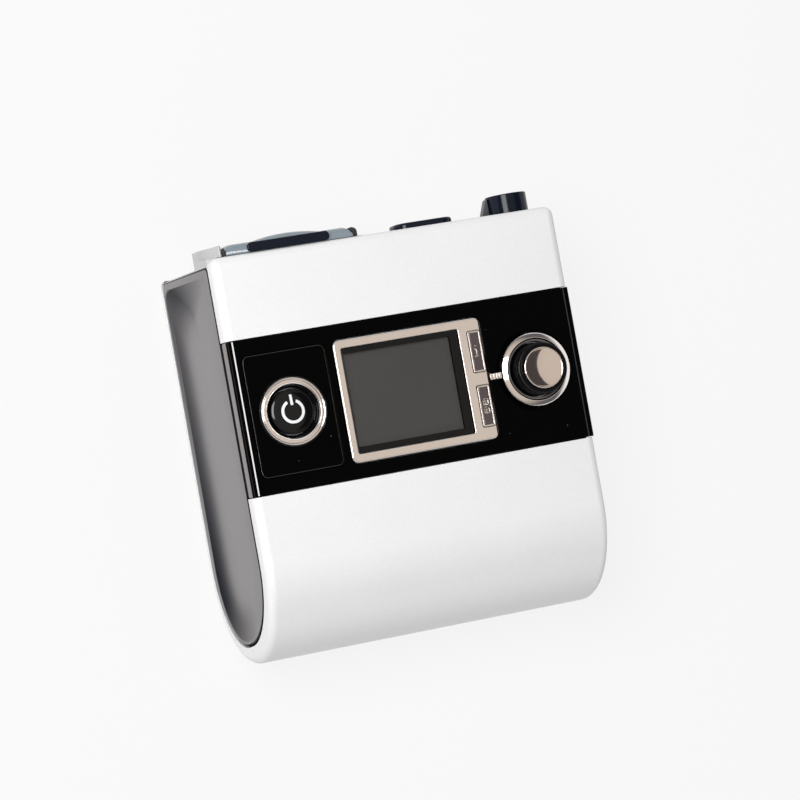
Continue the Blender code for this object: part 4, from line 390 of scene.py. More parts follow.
def post(x, y, low, high, radius, count=40):
    """Rings of a drafted post with a rounded top: the radius grows by a hundredth of the way down."""
    turn = np.linspace(0.0, math.tau, count, endpoint=False)[None, :]
    shoulder = 0.3 * POST_ROUND
    z = np.array([low, high - POST_ROUND, high - shoulder, high])[:, None]
    width = radius + DRAFT * (high - z) - np.array([0.0, 0.0, shoulder, POST_ROUND])[:, None]
    return np.stack((x + width * np.cos(turn), y + width * np.sin(turn), np.broadcast_to(z, (4, count))), -1)


def group_of(rings):
    """Faces over several equal pieces, each with its own ends, whose rings follow one another."""
    number, size = len(rings), rings[0].size // 3
    single = skin(rings[0])
    shift = size * np.arange(number)
    return [[point + start for point in face] for start in shift.tolist() for face in single]


for label, places in (("frame_posts", frame_posts), ("board_posts", board_posts),
                      ("mount_bosses", mount_bosses)):
    rings = np.stack([post(*place) for place in places])
    model(label, rings, group_of(rings), silver, "case", [])


SLIVER = 2e-5


def refined(name, node, look, body, edge=0.0002, crisp=35.0, turns=2, soft=None):
    """A merged copy of a node: its loose triangles joined, flat ones dissolved and sharp edges bevelled."""
    shape = bmesh.new()
    shape.from_mesh(nodes[node].data)
    bmesh.ops.remove_doubles(shape, verts=shape.verts, dist=WELD)
    bmesh.ops.dissolve_degenerate(shape, edges=shape.edges, dist=SLIVER)
    bmesh.ops.dissolve_limit(shape, angle_limit=math.radians(0.5), verts=shape.verts, edges=shape.edges)
    shape.verts.index_update()
    points = np.array([vert.co for vert in shape.verts]) - HOME
    faces = [[vert.index for vert in face.verts] for face in shape.faces]
    shape.free()
    return model(name, points, faces, look, body, [node], edge, crisp, turns, soft)


def cover_softness(middle):
    """The rear cover's upper rear edge is rounded in full, its other edges by a fifth of that."""
    return 1.0 if middle.y > 0.1507 and middle.z > 0.0740 else 0.2


refined("rear_cover_tray", "rear_cover", silver, "case", edge=0.0010, crisp=40.0, turns=4,
        soft=cover_softness)


# Side panels: satin grey mouldings let into the silver rims, with a rolled edge and a shallow dish that
# follows the outline of the case. Painted shade darkens their grey to a dark blue grey where the dish
# slopes upward, and on the back and the rolled edge.
PANEL_GAP, PANEL_RECESS, PANEL_THICKNESS = 0.0009, 0.0001, 0.0028
PANEL_TOP, PANEL_BOTTOM = CASE_HEIGHT - RIM - PANEL_GAP, BASE_RIM + PANEL_GAP
PANEL_REAR = BASE_REAR - REAR_RIM - 0.0001
PANEL_DISH, DISH_WAY, SOFT_START = 0.0021, 0.0068, 0.0005
FLAT_RIM, WIDER_BELOW, MOST_INSET = 0.0011, 0.0027, 0.0308
SHADE_REACH, SHADE_BLUR = 0.0120, 0.0027
ROLL = 0.0006
LOWER_CORNER, UPPER_CORNER = 0.0046, 0.0016
HALF_OPENING = 0.0322


def panel_outline(inset):
    """Row of (y, z) for each inset: the nose arc drawn in by rim + gap + inset, then two rounded corners."""
    inset = np.asarray(inset)[:, None]
    stations = nose_line(arc(0.0, math.pi, 64))
    depth = stations[:, 4] + PANEL_GAP + inset
    rows = [np.stack((stations[:, 0] - stations[:, 2] * depth, stations[:, 1] - stations[:, 3] * depth), -1)]
    for radius, start, level, upward in ((LOWER_CORNER, 0.0, PANEL_BOTTOM, 1),
                                         (UPPER_CORNER, math.pi / 2, PANEL_TOP, -1)):
        corner = np.minimum(radius + 0.7 * inset, 0.9 * (HALF_OPENING - inset))
        turn = arc(start, start + math.pi / 2, 10)[None, :]
        rows.append(np.stack((PANEL_REAR - inset - corner + corner * np.sin(turn),
                              level + upward * (inset + corner) - corner * np.cos(turn)), axis=-1))
    return np.concatenate(rows, axis=1)


def panel(side):
    """Rings from the back face over a rolled edge and a flat rim into the dish, and the painted shade on
    them.

    The rim is 1.1 mm wide, and 3.8 mm along the underside. Past it the depth nears its full 2.1 mm as
    1 - e^(-way / 6.8 mm), with a soft start. The painted shade is darkest where the wall of the dish leans
    upward, and full on the back and the rolled edge."""
    roll = arc(0.0, math.pi / 2, 5)
    inset = np.concatenate(([0.0], ROLL * (1 - np.cos(roll)), np.linspace(2 * ROLL, MOST_INSET, 56)))
    rise = np.concatenate(([-PANEL_THICKNESS], ROLL * (np.sin(roll) - 1), np.zeros(56)))[:, None]
    outline = panel_outline(inset)
    inward = outline[12] - outline[7]
    upward = (inward[:, 1] / np.linalg.norm(inward, axis=1))[None, :]
    past_rim = np.maximum(inset[:, None] - FLAT_RIM - WIDER_BELOW * np.clip(upward, 0.0, 1.0) ** 3, 0.0)
    share = (1 - np.exp(-past_rim / DISH_WAY)) * past_rim / (past_rim + SOFT_START)
    x = side * (HALF - PANEL_RECESS + rise - PANEL_DISH * share)
    # Painted shade: strongest where the dish's wall leans upward, fading 12 mm past the rim; full on the back
    # and the roll, and along the roll's upper side.
    leaning = 0.10 + 0.90 * np.clip(0.35 + 0.75 * upward, 0.0, 1.0)
    fade = 1 + np.exp((past_rim - SHADE_REACH) / SHADE_BLUR)
    painted_shade = np.clip(past_rim / SOFT_START, 0.0, 1.0) / fade * leaning
    painted_shade[:6] = 1.0
    painted_shade[6] = np.clip(-3.0 * upward, 0.0, 1.0)
    return np.concatenate((x[:, :, None], outline), axis=-1), painted_shade


panel_grey = finish("panel_grey", (0.5, 0.5, 0.5), 0.36, fineness=1500.0, speckle=0.30, cloud=0.14,
                    spread=0.12, relief=0.35, Specular_IOR_Level=0.03)
tree = panel_grey.node_tree
# The depth attribute holds painted shade: it mixes the grey toward a dark blue grey.
depth = add(tree, "Attribute", attribute_name="depth").outputs["Fac"]
surface = next(node for node in tree.nodes if node.type == "GROUP")
feed(tree, surface, {"Color": mixed(tree, depth, (0.292, 0.278, 0.280, 1.0), (0.004, 0.005, 0.011, 1.0))})
for side, name in ((-1, "left_side_panel"), (1, "right_side_panel")):
    rings, painted_shade = panel(side)
    piece = model(name + "_dished", rings, skin(rings), panel_grey, "case", [name],
                  crisp=60.0)
    piece.data.attributes.new("depth", "FLOAT", "POINT").data.foreach_set("value", painted_shade.ravel())


# Rear housing: one grey ABS moulding with the filter bay, the card slot, the holes for the sockets, the ears
# of the plug clip and the web beside the outlet. Its faces have a spark-eroded texture.
WALL_REAR = 0.1520
WEB_X, WEB_Z = 0.0485, 0.056
housing_grey = finish("housing_grey", (0.55, 0.54, 0.54), 0.46, fineness=1900.0, speckle=0.14, cloud=0.06,
                      spread=0.08, relief=0.5)


def housing_softness(middle):
    """The left post is rounded more than the other edges; where the web meets the wall stays crisp."""
    if abs(middle.x - WEB_X) < 0.004 and abs(middle.z - WEB_Z) < 0.003 and middle.y < WALL_REAR + 0.0015:
        return 0.0
    return 1.0 if middle.y > 0.1544 and middle.x < -0.0640 else 0.45


rear_housing = refined("rear_housing_moulding", "rear_housing", housing_grey, "case",
                       edge=0.0006, turns=3, soft=housing_softness)
# Painted shade: the web beside the outlet is coloured near black in place of the housing's grey.
web_painted_shade = finish("web_painted_shade", (0.075, 0.075, 0.082), 0.38, fineness=1900.0, speckle=0.14, cloud=0.06,
                  spread=0.08, relief=0.3)
rear_housing.data.materials.append(web_painted_shade)
corner = np.array([vert.co for vert in rear_housing.data.vertices]) - HOME
beside_outlet = (np.abs(corner[:, 0] - WEB_X) < 0.0025) & (np.abs(corner[:, 2] - WEB_Z) < 0.002)
behind = corner[:, 1] > 0.160
web = [int(beside_outlet[list(face.vertices)].all() and behind[list(face.vertices)].any())
       for face in rear_housing.data.polygons]
rear_housing.data.polygons.foreach_set("material_index", web)


# Feet: soft rubber buttons pressed into pockets under the base.
rubber = finish("rubber", (0.028, 0.028, 0.030), 0.72, fineness=1500.0, speckle=0.3, cloud=0.3, spread=0.1,
                relief=0.6)


def repaint(look, *names):
    """A node keeps its shape and takes a better material."""
    for name in names:
        for holder in nodes[name].material_slots:
            holder.material = look


repaint(rubber, "foot_1", "foot_2", "foot_3", "foot_4")


# Fascia: the control band is polished black ABS, slightly proud of the silver, with a shallow dish round the
# dial. Fine dust specks and smears show on it only where light strikes them.
gloss_marks, given, result = group("gloss_marks", [("Color", "color", (0.01, 0.01, 0.01, 1.0)),
                                                   ("Roughness", "value", 0.06), ("Dust", "value", 0.4)],
                                   [("Color", "color"), ("Roughness", "value"), ("Normal", "vector")])
given = given.outputs
place = add(gloss_marks, "TexCoord").outputs["Object"]
cells = add(gloss_marks, "TexVoronoi", {"Vector": place, "Scale": 420.0}).outputs
lot = add(gloss_marks, "SeparateColor", {"Color": cells["Color"]}).outputs[0]
rare = combine(gloss_marks, "GREATER_THAN", lot, 0.93)
near = add(gloss_marks, "MapRange", {"Value": cells["Distance"], "From Min": 0.03, "From Max": 0.09,
                                     "To Min": 1.0, "To Max": 0.0}).outputs[0]
dust = combine(gloss_marks, "MULTIPLY", combine(gloss_marks, "MULTIPLY", rare, near), given["Dust"])
dusty = mixed(gloss_marks, dust, given["Color"], (0.45, 0.44, 0.42, 1.0))
smear = add(gloss_marks, "TexNoise", {"Vector": place, "Scale": 55.0, "Detail": 6.0, "Roughness": 0.62})
rough = add(gloss_marks, "MapRange", {"Value": smear.outputs["Fac"], "From Min": 0.45, "From Max": 0.8,
                                      "To Min": 0.0, "To Max": 0.10}).outputs[0]
hazed = combine(gloss_marks, "ADD", rough, given["Roughness"])
rougher = combine(gloss_marks, "MULTIPLY_ADD", dust, 0.5, hazed)
peel = add(gloss_marks, "TexNoise", {"Vector": place, "Scale": 260.0, "Detail": 1.0}).outputs["Fac"]
ripple = add(gloss_marks, "Bump", {"Height": peel, "Strength": 0.03, "Distance": 0.0004})
feed(gloss_marks, result, {"Color": dusty, "Roughness": rougher, "Normal": ripple.outputs["Normal"]})


def polish(name, color, roughness, dust=0.4, **more):
    """A polished or plated surface with dust specks and a slight ripple."""
    return covered(name, gloss_marks, {"Color": (*color, 1.0), "Roughness": roughness, "Dust": dust}, more)


gloss_black = polish("gloss_black", (0.0008, 0.0008, 0.0009), 0.05, Specular_IOR_Level=0.03)
edge_black = polish("edge_black", (0.0030, 0.0030, 0.0034), 0.08, Specular_IOR_Level=1.0)
side_grey = finish("side_grey", (0.21, 0.19, 0.175), 0.40, fineness=1700.0, speckle=0.12, cloud=0.06)


def dress_beyond(piece, axis, at, look):
    """Split a piece's faces along the planes where |axis| = at and give those beyond them another finish."""
    shape = bmesh.new()
    shape.from_mesh(piece.data)
    normal = np.eye(3)[axis]
    for side in (-1, 1):
        bmesh.ops.bisect_plane(shape, geom=shape.verts[:] + shape.edges[:] + shape.faces[:], dist=1e-7,
                               plane_co=side * at * normal + HOME * normal, plane_no=normal)
    shape.to_mesh(piece.data)
    shape.free()
    piece.data.materials.append(look)
    middle = np.array([face.center for face in piece.data.polygons]) - HOME
    kind = np.zeros(len(middle), int)
    piece.data.polygons.foreach_get("material_index", kind)
    kind[np.abs(middle[:, axis]) > at] = len(piece.data.materials) - 1
    piece.data.polygons.foreach_set("material_index", kind)
    return middle


# At both ends the fascia steps 0.2 mm down over a facet 0.5 mm wide, which catches the light as a line; the
# lower half of its side faces is grey.
FACET_INNER, FACET_OUTER, SIDE_X, SIDE_TOP, STEP_DOWN = 0.0674, 0.0679, 0.0690, 0.0755, 0.0002
fascia = refined("fascia_moulding", "fascia", gloss_black, "case", edge=0.0002)
dress_beyond(fascia, 0, FACET_OUTER, gloss_black)
dress_beyond(fascia, 0, FACET_INNER, edge_black)
middle = dress_beyond(fascia, 2, SIDE_TOP, side_grey)
outward, upper = np.abs(middle[:, 0]), middle[:, 2] > SIDE_TOP
facet = (outward > FACET_INNER) & (outward < FACET_OUTER) & upper
side_faces = (outward > SIDE_X) & ~upper
fascia.data.polygons.foreach_set("material_index", np.where(facet, 2, np.where(side_faces, 3, 0)))
place = np.array([vert.co for vert in fascia.data.vertices])
stepped = (np.abs(place[:, 0]) > FACET_OUTER - 0.00005) & (place[:, 2] - HOME[2] > SIDE_TOP - 0.0003)
place[stepped, 2] -= STEP_DOWN
fascia.data.vertices.foreach_set("co", place.ravel())
crease = fascia.data.attributes.new("sharp_edge", "BOOLEAN", "EDGE")
for mark, line in zip(crease.data, fascia.data.edges):
    ends = np.abs(place[list(line.vertices), 0])
    mark.value = any(bool((np.abs(ends - at) < 1e-5).all()) for at in (FACET_INNER, FACET_OUTER))


# Plating: chrome on ABS, warm in tone, with the same dust.
plating = polish("plating", (0.90, 0.85, 0.81), 0.09, dust=0.25, Metallic=1.0)


# Power control: a gloss plate with a raised plated ring; inside it a black dish and a domed button that
# sinks 1 mm. The mark is the usual ring with a stroke, printed in white.
POWER_X, CONTROL_Y = -0.0488, 0.09259
power_centre = (POWER_X, CONTROL_Y, 0.0)
power_black = polish("power_black", (0.0025, 0.0026, 0.0032), 0.05, Specular_IOR_Level=0.35)
power_plate = refined("power_plate_moulding", "power_plate", gloss_black, "case", edge=0.00025)
power_plate.data.materials.append(edge_black)
power_plate.modifiers["edge"].material = 1


def bends(corners, radii, steps=6, closed=False):
    """An outline whose corners give way to arcs: each arc swings about its centre from tangent to tangent."""
    corners, radii = np.asarray(corners, float), np.asarray(radii, float)[:, None]
    if not closed:
        radii = radii.copy()
        radii[0] = radii[-1] = 0.0
    back = np.roll(corners, 1, axis=0) - corners
    ahead = np.roll(corners, -1, axis=0) - corners
    back /= np.maximum(np.linalg.norm(back, axis=1, keepdims=True), 1e-12)
    ahead /= np.maximum(np.linalg.norm(ahead, axis=1, keepdims=True), 1e-12)
    half = np.arccos(np.clip((back * ahead).sum(1, keepdims=True), -1.0, 1.0)) / 2
    half = np.clip(half, 0.02, math.pi / 2 - 0.001)
    middle = (back + ahead) / np.maximum(np.linalg.norm(back + ahead, axis=1, keepdims=True), 1e-12)
    centre = corners + middle * radii / np.sin(half)
    reach = radii / np.tan(half)
    start = (corners + back * reach - centre)[:, None, :]
    stop = (corners + ahead * reach - centre)[:, None, :]
    sweep = (math.pi - 2 * half)[:, None, :]
    step = np.linspace(0.0, 1.0, steps + 1)[None, :, None]
    turn = (np.sin((1 - step) * sweep) * start + np.sin(step * sweep) * stop) / np.sin(sweep)
    return (centre[:, None, :] + turn).reshape(-1, 2)


def turned(profile, centre, count=96, rearward=False):
    """A profile of (radius, height) carried round an upright or rearward axis: (r cos t, r sin t, h)."""
    profile = np.asarray(profile)
    angle = np.linspace(0.0, math.tau, count, endpoint=False)[:, None]
    radius, height = profile[None, :, 0], np.broadcast_to(profile[None, :, 1], (count, len(profile)))
    if rearward:
        points = np.stack((radius * np.cos(angle), height, radius * np.sin(angle)), axis=-1)
    else:
        points = np.stack((radius * np.cos(angle), radius * np.sin(angle), height), axis=-1)
    return points + np.asarray(centre)


def lathe(name, profile, radii, centre, look, body, replaced, closed=False, count=96, rearward=False,
          steps=5, crisp=50.0):
    """A turned piece: the profile's corners are rounded, and an open profile starts and ends on the axis."""
    rings = turned(bends(profile, radii, steps, closed), centre, count, rearward)
    rows, size = rings.shape[:2]
    row, place = np.arange(rows)[:, None], np.arange(size if closed else size - 1)[None, :]
    following, after = (row + 1) % rows, (place + 1) % size
    faces = np.stack((row * size + place, following * size + place, following * size + after,
                      row * size + after), axis=-1).reshape(-1, 4).tolist()
    return model(name, rings, faces, look, body, replaced, crisp=crisp)


lathe("power_ring_plated", [(0.0103, 0.0716), (0.0127, 0.0716), (0.0127, 0.0770), (0.0124, 0.07725),
                            (0.01205, 0.07705), (0.0119, 0.07722), (0.0109, 0.0773), (0.01048, 0.07695),
                            (0.0103, 0.0766)],
      [0, 0, 0.0002, 0.00015, 0.0001, 0.00015, 0.0003, 0.0001, 0.0001], power_centre, plating,
      "case", ["power_ring"], closed=True, steps=3, crisp=70.0)
lathe("power_dish_turned", [(0.0100, 0.0759), (0.0100, 0.0716), (0.0090, 0.0716), (0.0090, 0.0746),
                            (0.0094, 0.0748), (0.0098, 0.0756)],
      [0.0001, 0, 0, 0.0002, 0.0008, 0.0003], power_centre, power_black, "case", ["power_dish"],
      closed=True, steps=4, crisp=70.0)

DOME, DOME_BASE, DOME_RISE = 0.0086, 0.07520, 0.0013
STEM, SKIRT_FOOT, STEM_FOOT = 0.002, 0.0730, 0.0667
swell = arc(0.0, 1.30, 14)
dome = np.stack((DOME * np.sin(swell), DOME_BASE + DOME_RISE * np.cos(swell)), 1)
skirt = [(DOME, DOME_BASE + 0.0001), (DOME, SKIRT_FOOT), (STEM, SKIRT_FOOT), (STEM, STEM_FOOT),
         (0.0, STEM_FOOT)]
lathe("power_button_dome", np.vstack((dome, skirt)), [0] * 15 + [0.0004, 0, 0, 0, 0], power_centre,
      power_black, "power_key", ["power_button"], steps=3, crisp=70.0)
INK_LIFT, INK_DEPTH = 0.00004, 0.00010


def print_on_dome(name, across, along, look):
    """A printed patch that follows the dome: x, y from two grids, z = the dome's height there."""
    radius = np.hypot(across, along)
    top = DOME_BASE + DOME_RISE * np.sqrt(np.clip(1 - (radius / DOME) ** 2, 0.0, 1.0))
    upper = np.stack((across + POWER_X, along + CONTROL_Y, top + INK_LIFT), axis=-1)
    lower = np.stack((across + POWER_X, along + CONTROL_Y, top - INK_DEPTH), axis=-1)
    rings = np.concatenate((upper, lower[:, ::-1]), axis=1)
    return model(name, rings, skin(rings), look, "power_key", [], crisp=60.0)


white_ink = finish("white_ink", (0.83, 0.84, 0.86), 0.45, fineness=2600.0, speckle=0.06, cloud=0.04)
sweep = np.linspace(math.radians(115), math.radians(425), 72)[:, None]
radius = np.linspace(0.00350, 0.00460, 5)[None, :]
print_on_dome("power_mark_ring", radius * np.cos(sweep), radius * np.sin(sweep), white_ink)
along, across = np.meshgrid(np.linspace(0.0024, 0.0064, 12), np.linspace(-0.00052, 0.00052, 4), indexing="ij")
print_on_dome("power_mark_stroke", across, along, white_ink)


# Screen: a plated bezel holds a flat window, printed black round the display behind it. The display is a
# grey reflective LCD with a faint dot matrix.
BEZEL_EDGE_X = 0.03005
bezel = refined("screen_bezel_plated", "screen_bezel", plating, "case", edge=0.00025, turns=3)
dress_beyond(bezel, 0, BEZEL_EDGE_X, edge_black)

LCD_LOW, LCD_HIGH = np.array((-0.0259, 0.0750)), np.array((0.0177, 0.1106))
lcd_x, lcd_y = (LCD_LOW + LCD_HIGH) / 2
half_x, half_y = (LCD_HIGH - LCD_LOW) / 2
glass, tree, shader = principled("printed_window", Base_Color=(0.004, 0.004, 0.004, 1.0),
                                 Specular_IOR_Level=0.25)
place = add(tree, "TexCoord").outputs["Object"]
centred = add(tree, "Mapping", {"Vector": place, "Location": (-lcd_x, -lcd_y - HOME[1], 0.0)}).outputs[0]
folded = add(tree, "VectorMath", {0: centred}, operation="ABSOLUTE").outputs[0]
part = add(tree, "SeparateXYZ", {0: folded}).outputs
border = combine(tree, "MAXIMUM", combine(tree, "GREATER_THAN", part["X"], half_x),
                 combine(tree, "GREATER_THAN", part["Y"], half_y))
haze = add(tree, "TexNoise", {"Vector": place, "Scale": 70.0, "Detail": 5.0}).outputs["Fac"]
smudge = add(tree, "MapRange", {"Value": haze, "From Min": 0.4, "From Max": 0.8, "To Min": 0.03,
                                "To Max": 0.12})
sheer = add(tree, "MapRange", {"Value": border, "To Min": 0.22, "To Max": 1.0})
feed(tree, shader, {"Alpha": sheer.outputs[0], "Roughness": smudge.outputs[0]})
refined("screen_window_printed", "screen_window", glass, "case", edge=0.0002)

lcd, tree, shader = principled("lcd", Specular_IOR_Level=0.3)
place = add(tree, "TexCoord").outputs["Object"]
dots = add(tree, "TexBrick", {"Vector": place, "Color1": (0.175, 0.164, 0.158, 1.0),
                              "Color2": (0.179, 0.168, 0.162, 1.0), "Mortar": (0.143, 0.134, 0.130, 1.0),
                              "Scale": 1.0, "Mortar Size": 0.00004, "Brick Width": 0.00034,
                              "Row Height": 0.00034}, offset=0.0)
tint = add(tree, "TexNoise", {"Vector": place, "Scale": 24.0, "Detail": 2.0}).outputs["Fac"]
glow = add(tree, "MapRange", {"Value": tint, "To Min": 0.88, "To Max": 1.12}).outputs[0]
toned = add(tree, "VectorMath", {0: dots.outputs["Color"], "Scale": glow}, operation="SCALE")
soft = add(tree, "MapRange", {"Value": tint, "To Min": 0.3, "To Max": 0.45})
feed(tree, shader, {"Base Color": toned.outputs[0], "Roughness": soft.outputs[0]})
repaint(lcd, "lcd_module")


# Screen keys: plated, each with a thin raised rim round a hollow panel, and a raised mark: a lower-case i for
# the information key, two small pages for the menu key.
key_plating = polish("key_plating", (0.80, 0.75, 0.71), 0.16, dust=0.2, Metallic=1.0)
panel_plating = polish("panel_plating", (0.17, 0.15, 0.16), 0.30, dust=0.2, Metallic=1.0)
KEY_X, KEY_TOP, KEY_HOLLOW, KEY_OFFSET = 0.0275, 0.0777, 0.00025, 0.01055
KEY_ROOM = (0.0019, 0.0073)
KEY_PAINT = 0.00002


def bars(name, strokes, centre, width, low, high, look, body):
    """Raised strokes: for each pair of ends a box, half the width to either side of the line between them."""
    ends = np.asarray(strokes, float).reshape(-1, 2, 2)
    course = ends[:, 1] - ends[:, 0]
    course /= np.linalg.norm(course, axis=1, keepdims=True)
    aside = np.stack((-course[:, 1], course[:, 0]), 1) * width / 2
    onward = course * width / 2
    corners = np.stack((ends[:, 0] - onward - aside, ends[:, 1] + onward - aside, ends[:, 1] + onward + aside,
                        ends[:, 0] - onward + aside), 1) + np.asarray(centre)[:2]
    flat = np.concatenate((corners, corners), axis=1)
    height = np.tile(np.array([low] * 4 + [high] * 4), (len(flat), 1))
    points = np.concatenate((flat, height[:, :, None]), axis=-1).reshape(-1, 3)
    box = np.array([(3, 2, 1, 0), (4, 5, 6, 7), (0, 1, 5, 4), (1, 2, 6, 5), (2, 3, 7, 6), (3, 0, 4, 7)])
    faces = (box[None] + 8 * np.arange(len(flat))[:, None, None]).reshape(-1, 4).tolist()
    return model(name, points, faces, look, body, [], edge=0.00006, turns=2)


info_strokes = [((-0.0002, 0.0021), (0.0002, 0.0021)), ((-0.0006, 0.0009), (0.0, 0.0009)),
                ((0.0, 0.0009), (0.0, -0.0018)), ((-0.0007, -0.0018), (0.0007, -0.0018))]
page = np.array([((-0.0009, -0.0011), (-0.0009, 0.0011)), ((-0.0009, 0.0011), (0.0005, 0.0011)),
                 ((0.0005, 0.0011), (0.0010, 0.0006)), ((0.0010, 0.0006), (0.0010, -0.0011)),
                 ((0.0010, -0.0011), (-0.0009, -0.0011)), ((-0.0003, 0.0002), (0.0004, 0.0002)),
                 ((-0.0003, -0.0005), (0.0004, -0.0005))])
menu_strokes = np.concatenate((page + (0.0, 0.0016), page - (0.0, 0.0016)))
key_floor = KEY_TOP - KEY_HOLLOW
for name, body, centre, strokes in (("info", "info_key", (KEY_X, CONTROL_Y + KEY_OFFSET), info_strokes),
                                    ("menu", "menu_key", (KEY_X, CONTROL_Y - KEY_OFFSET), menu_strokes)):
    refined(f"{name}_button_plated", f"{name}_button", key_plating, body, edge=0.00012)
    bars(f"{name}_button_mark", strokes, centre, 0.00034, key_floor - 0.0001, KEY_TOP, key_plating, body)
    inlay = np.array([(-1, -1), (1, -1), (1, 1), (-1, 1)]) * KEY_ROOM + centre
    inlay = bends(inlay, [0.0003] * 4, 4, closed=True)
    level = np.array([key_floor - 0.0001, key_floor + KEY_PAINT])
    rings = np.stack([np.column_stack((inlay, np.full(len(inlay), z))) for z in level])
    model(f"{name}_button_panel", rings, skin(rings), panel_plating, body, [], crisp=60.0)


# Link: a small plated bar with ribs between the bezel and the ring of the dial.
refined("dial_link_plated", "dial_link", plating, "case", edge=0.0001)


# Dial: a plated ring with a satin throat sits in the fascia's dish. The knob is black with fine rings round
# its side, and a plated bowl is let into its top; it turns, and clicks 0.8 mm down.
dial_centre = (0.0508, CONTROL_Y, 0.0)
throat = finish("dial_throat", (0.20, 0.185, 0.18), 0.36, fineness=2600.0, speckle=0.05, cloud=0.04,
                Metallic=0.2)
lathe("dial_ring_plated", [(0.0116, 0.0716), (0.0141, 0.0716), (0.0141, 0.0763), (0.0138, 0.0765),
                           (0.0122, 0.0773), (0.0116, 0.0769)],
      [0, 0, 0.0002, 0.0003, 0.0003, 0.0001], dial_centre, plating, "case", ["dial_ring"],
      closed=True, steps=6, crisp=60.0)
lathe("dial_throat_cone", [(0.0109, 0.0716), (0.01156, 0.0716), (0.01156, 0.0768), (0.0114, 0.0768),
                           (0.0109, 0.0764)],
      [0, 0, 0.0001, 0.0001, 0.0001], dial_centre, throat, "case", [],
      closed=True, steps=3, crisp=60.0)
knob_black = polish("knob_black", (0.0015, 0.0015, 0.002), 0.10, Specular_IOR_Level=0.12)
lathe("dial_knob_ringed", [(0.0, 0.0829), (0.0083, 0.0829), (0.0083, 0.0845), (0.00925, 0.0845),
                           (0.00975, 0.0840), (0.00975, 0.0822), (0.00955, 0.0820), (0.00955, 0.0816),
                           (0.00985, 0.0814), (0.00985, 0.0801), (0.0096, 0.0799), (0.0096, 0.0795),
                           (0.0099, 0.0792), (0.0101, 0.0777), (0.0105, 0.0724), (0.00845, 0.0724),
                           (0.00845, 0.0805), (0.0, 0.0805)],
      [0, 0.0002, 0.0001, 0.0003, 0.0003, 0.0001, 0.0001, 0.0001, 0.0002, 0.0002, 0.0001, 0.0001, 0.0003,
       0.0004, 0, 0, 0, 0], dial_centre, knob_black, "dial", ["dial_knob"],
      steps=4, crisp=60.0)
BOWL, BOWL_RIM, BOWL_DEPTH = 0.0074, 0.0846, 0.0008
bowl_radius = np.linspace(0.0, BOWL, 16)
bowl = np.stack((bowl_radius, BOWL_RIM - BOWL_DEPTH * (1 - (bowl_radius / BOWL) ** 2)), 1)
rim = [(0.0076, 0.0847), (0.0080, 0.0847), (0.0080, 0.0832), (0.0, 0.0832)]
cap_plating = polish("cap_plating", (0.84, 0.77, 0.71), 0.07, dust=0.15, Metallic=1.0)
lathe("dial_cap_bowl", np.vstack((bowl, rim)), [0] * 16 + [0.00015, 0.0003, 0, 0],
      dial_centre, cap_plating, "dial", ["dial_cap"], steps=3, crisp=60.0)


# Air outlet: a turned tube of dark navy plastic with a polished skin; a narrower spigot inside the case takes
# the duct. Its end has a small lead-in for the hose's cuff.
navy = polish("navy_gloss", (0.004, 0.007, 0.015), 0.11, dust=0.15, Specular_IOR_Level=0.2)
outlet_centre = (0.0589, 0.0, 0.0560)
lathe("air_outlet_tube", [(0.0066, 0.1622), (0.0081, 0.1622), (0.0081, 0.1478), (0.0066, 0.1478),
                          (0.0066, 0.1368), (0.0054, 0.1368), (0.0054, 0.1478), (0.0066, 0.1498)],
      [0.0004, 0.0004, 0.0002, 0, 0.0002, 0.0002, 0, 0], outlet_centre, navy, "case",
      ["air_outlet"], closed=True, rearward=True, steps=5, crisp=60.0)


# Filter: a clear pale blue cover pulls off rearwards with its dark grip and the felt pad behind it; a black
# rubber seal stays in the bay. The cover's top rolls over to a rear face that is bowed in the middle.
filter_seal = refined("filter_seal_rubber", "filter_seal", rubber, "case", edge=0.0002)
place = np.array([vert.co for vert in filter_seal.data.vertices]) - HOME
from_end = np.clip(np.minimum(place[:, 0] + 0.0638, -0.0086 - place[:, 0]) / 0.0045, 0.0, 1.0)
drop = 0.0022 * (1 - np.sqrt(1 - (1 - from_end) ** 2))
place[:, 1] -= drop * np.clip((place[:, 1] - 0.1544) / 0.0039, 0.0, 1.0)
filter_seal.data.vertices.foreach_set("co", (place + HOME).ravel())

COVER_LEFT, COVER_RIGHT, COVER_FRONT = -0.0624, -0.0115, 0.1544
COVER_FLOOR, COVER_TOP, COVER_REACH = 0.0550, 0.0718, 0.0042
COVER_CORNER, BOW_HALF, BOW_DEPTH = 0.0032, 0.0135, 0.0014


def filter_cover_rings():
    """Plan outline scaled by the roll: y = front + reach * roll(height), a quarter ellipse at the top."""
    corner = COVER_CORNER
    turn = arc(0.0, math.pi / 2, 6)
    step = np.linspace(1.0, -1.0, 33)
    middle = (COVER_LEFT + COVER_RIGHT) / 2
    x = np.concatenate(([COVER_LEFT, COVER_RIGHT], COVER_RIGHT - corner + corner * np.cos(turn),
                        middle + BOW_HALF * step, COVER_LEFT + corner - corner * np.sin(turn)))
    reach = np.concatenate(([0.0, 0.0], COVER_REACH - corner + corner * np.sin(turn),
                            COVER_REACH + BOW_DEPTH * (1 - step ** 2),
                            COVER_REACH - corner + corner * np.cos(turn)))
    rise = arc(0.0, math.pi / 2, 14)
    height = np.concatenate(([0.0, 0.02, 0.06], 0.66 + 0.34 * np.sin(rise)))
    share = np.concatenate(([0.94, 0.985, 1.0], 0.50 + 0.50 * np.cos(rise) ** 0.9))
    height, share = height[:, None], share[:, None]
    z = COVER_FLOOR + (COVER_TOP - COVER_FLOOR) * height
    return np.stack((np.broadcast_to(x, (len(z), len(x))), COVER_FRONT + reach * share,
                     np.broadcast_to(z, (len(z), len(x)))), axis=-1)


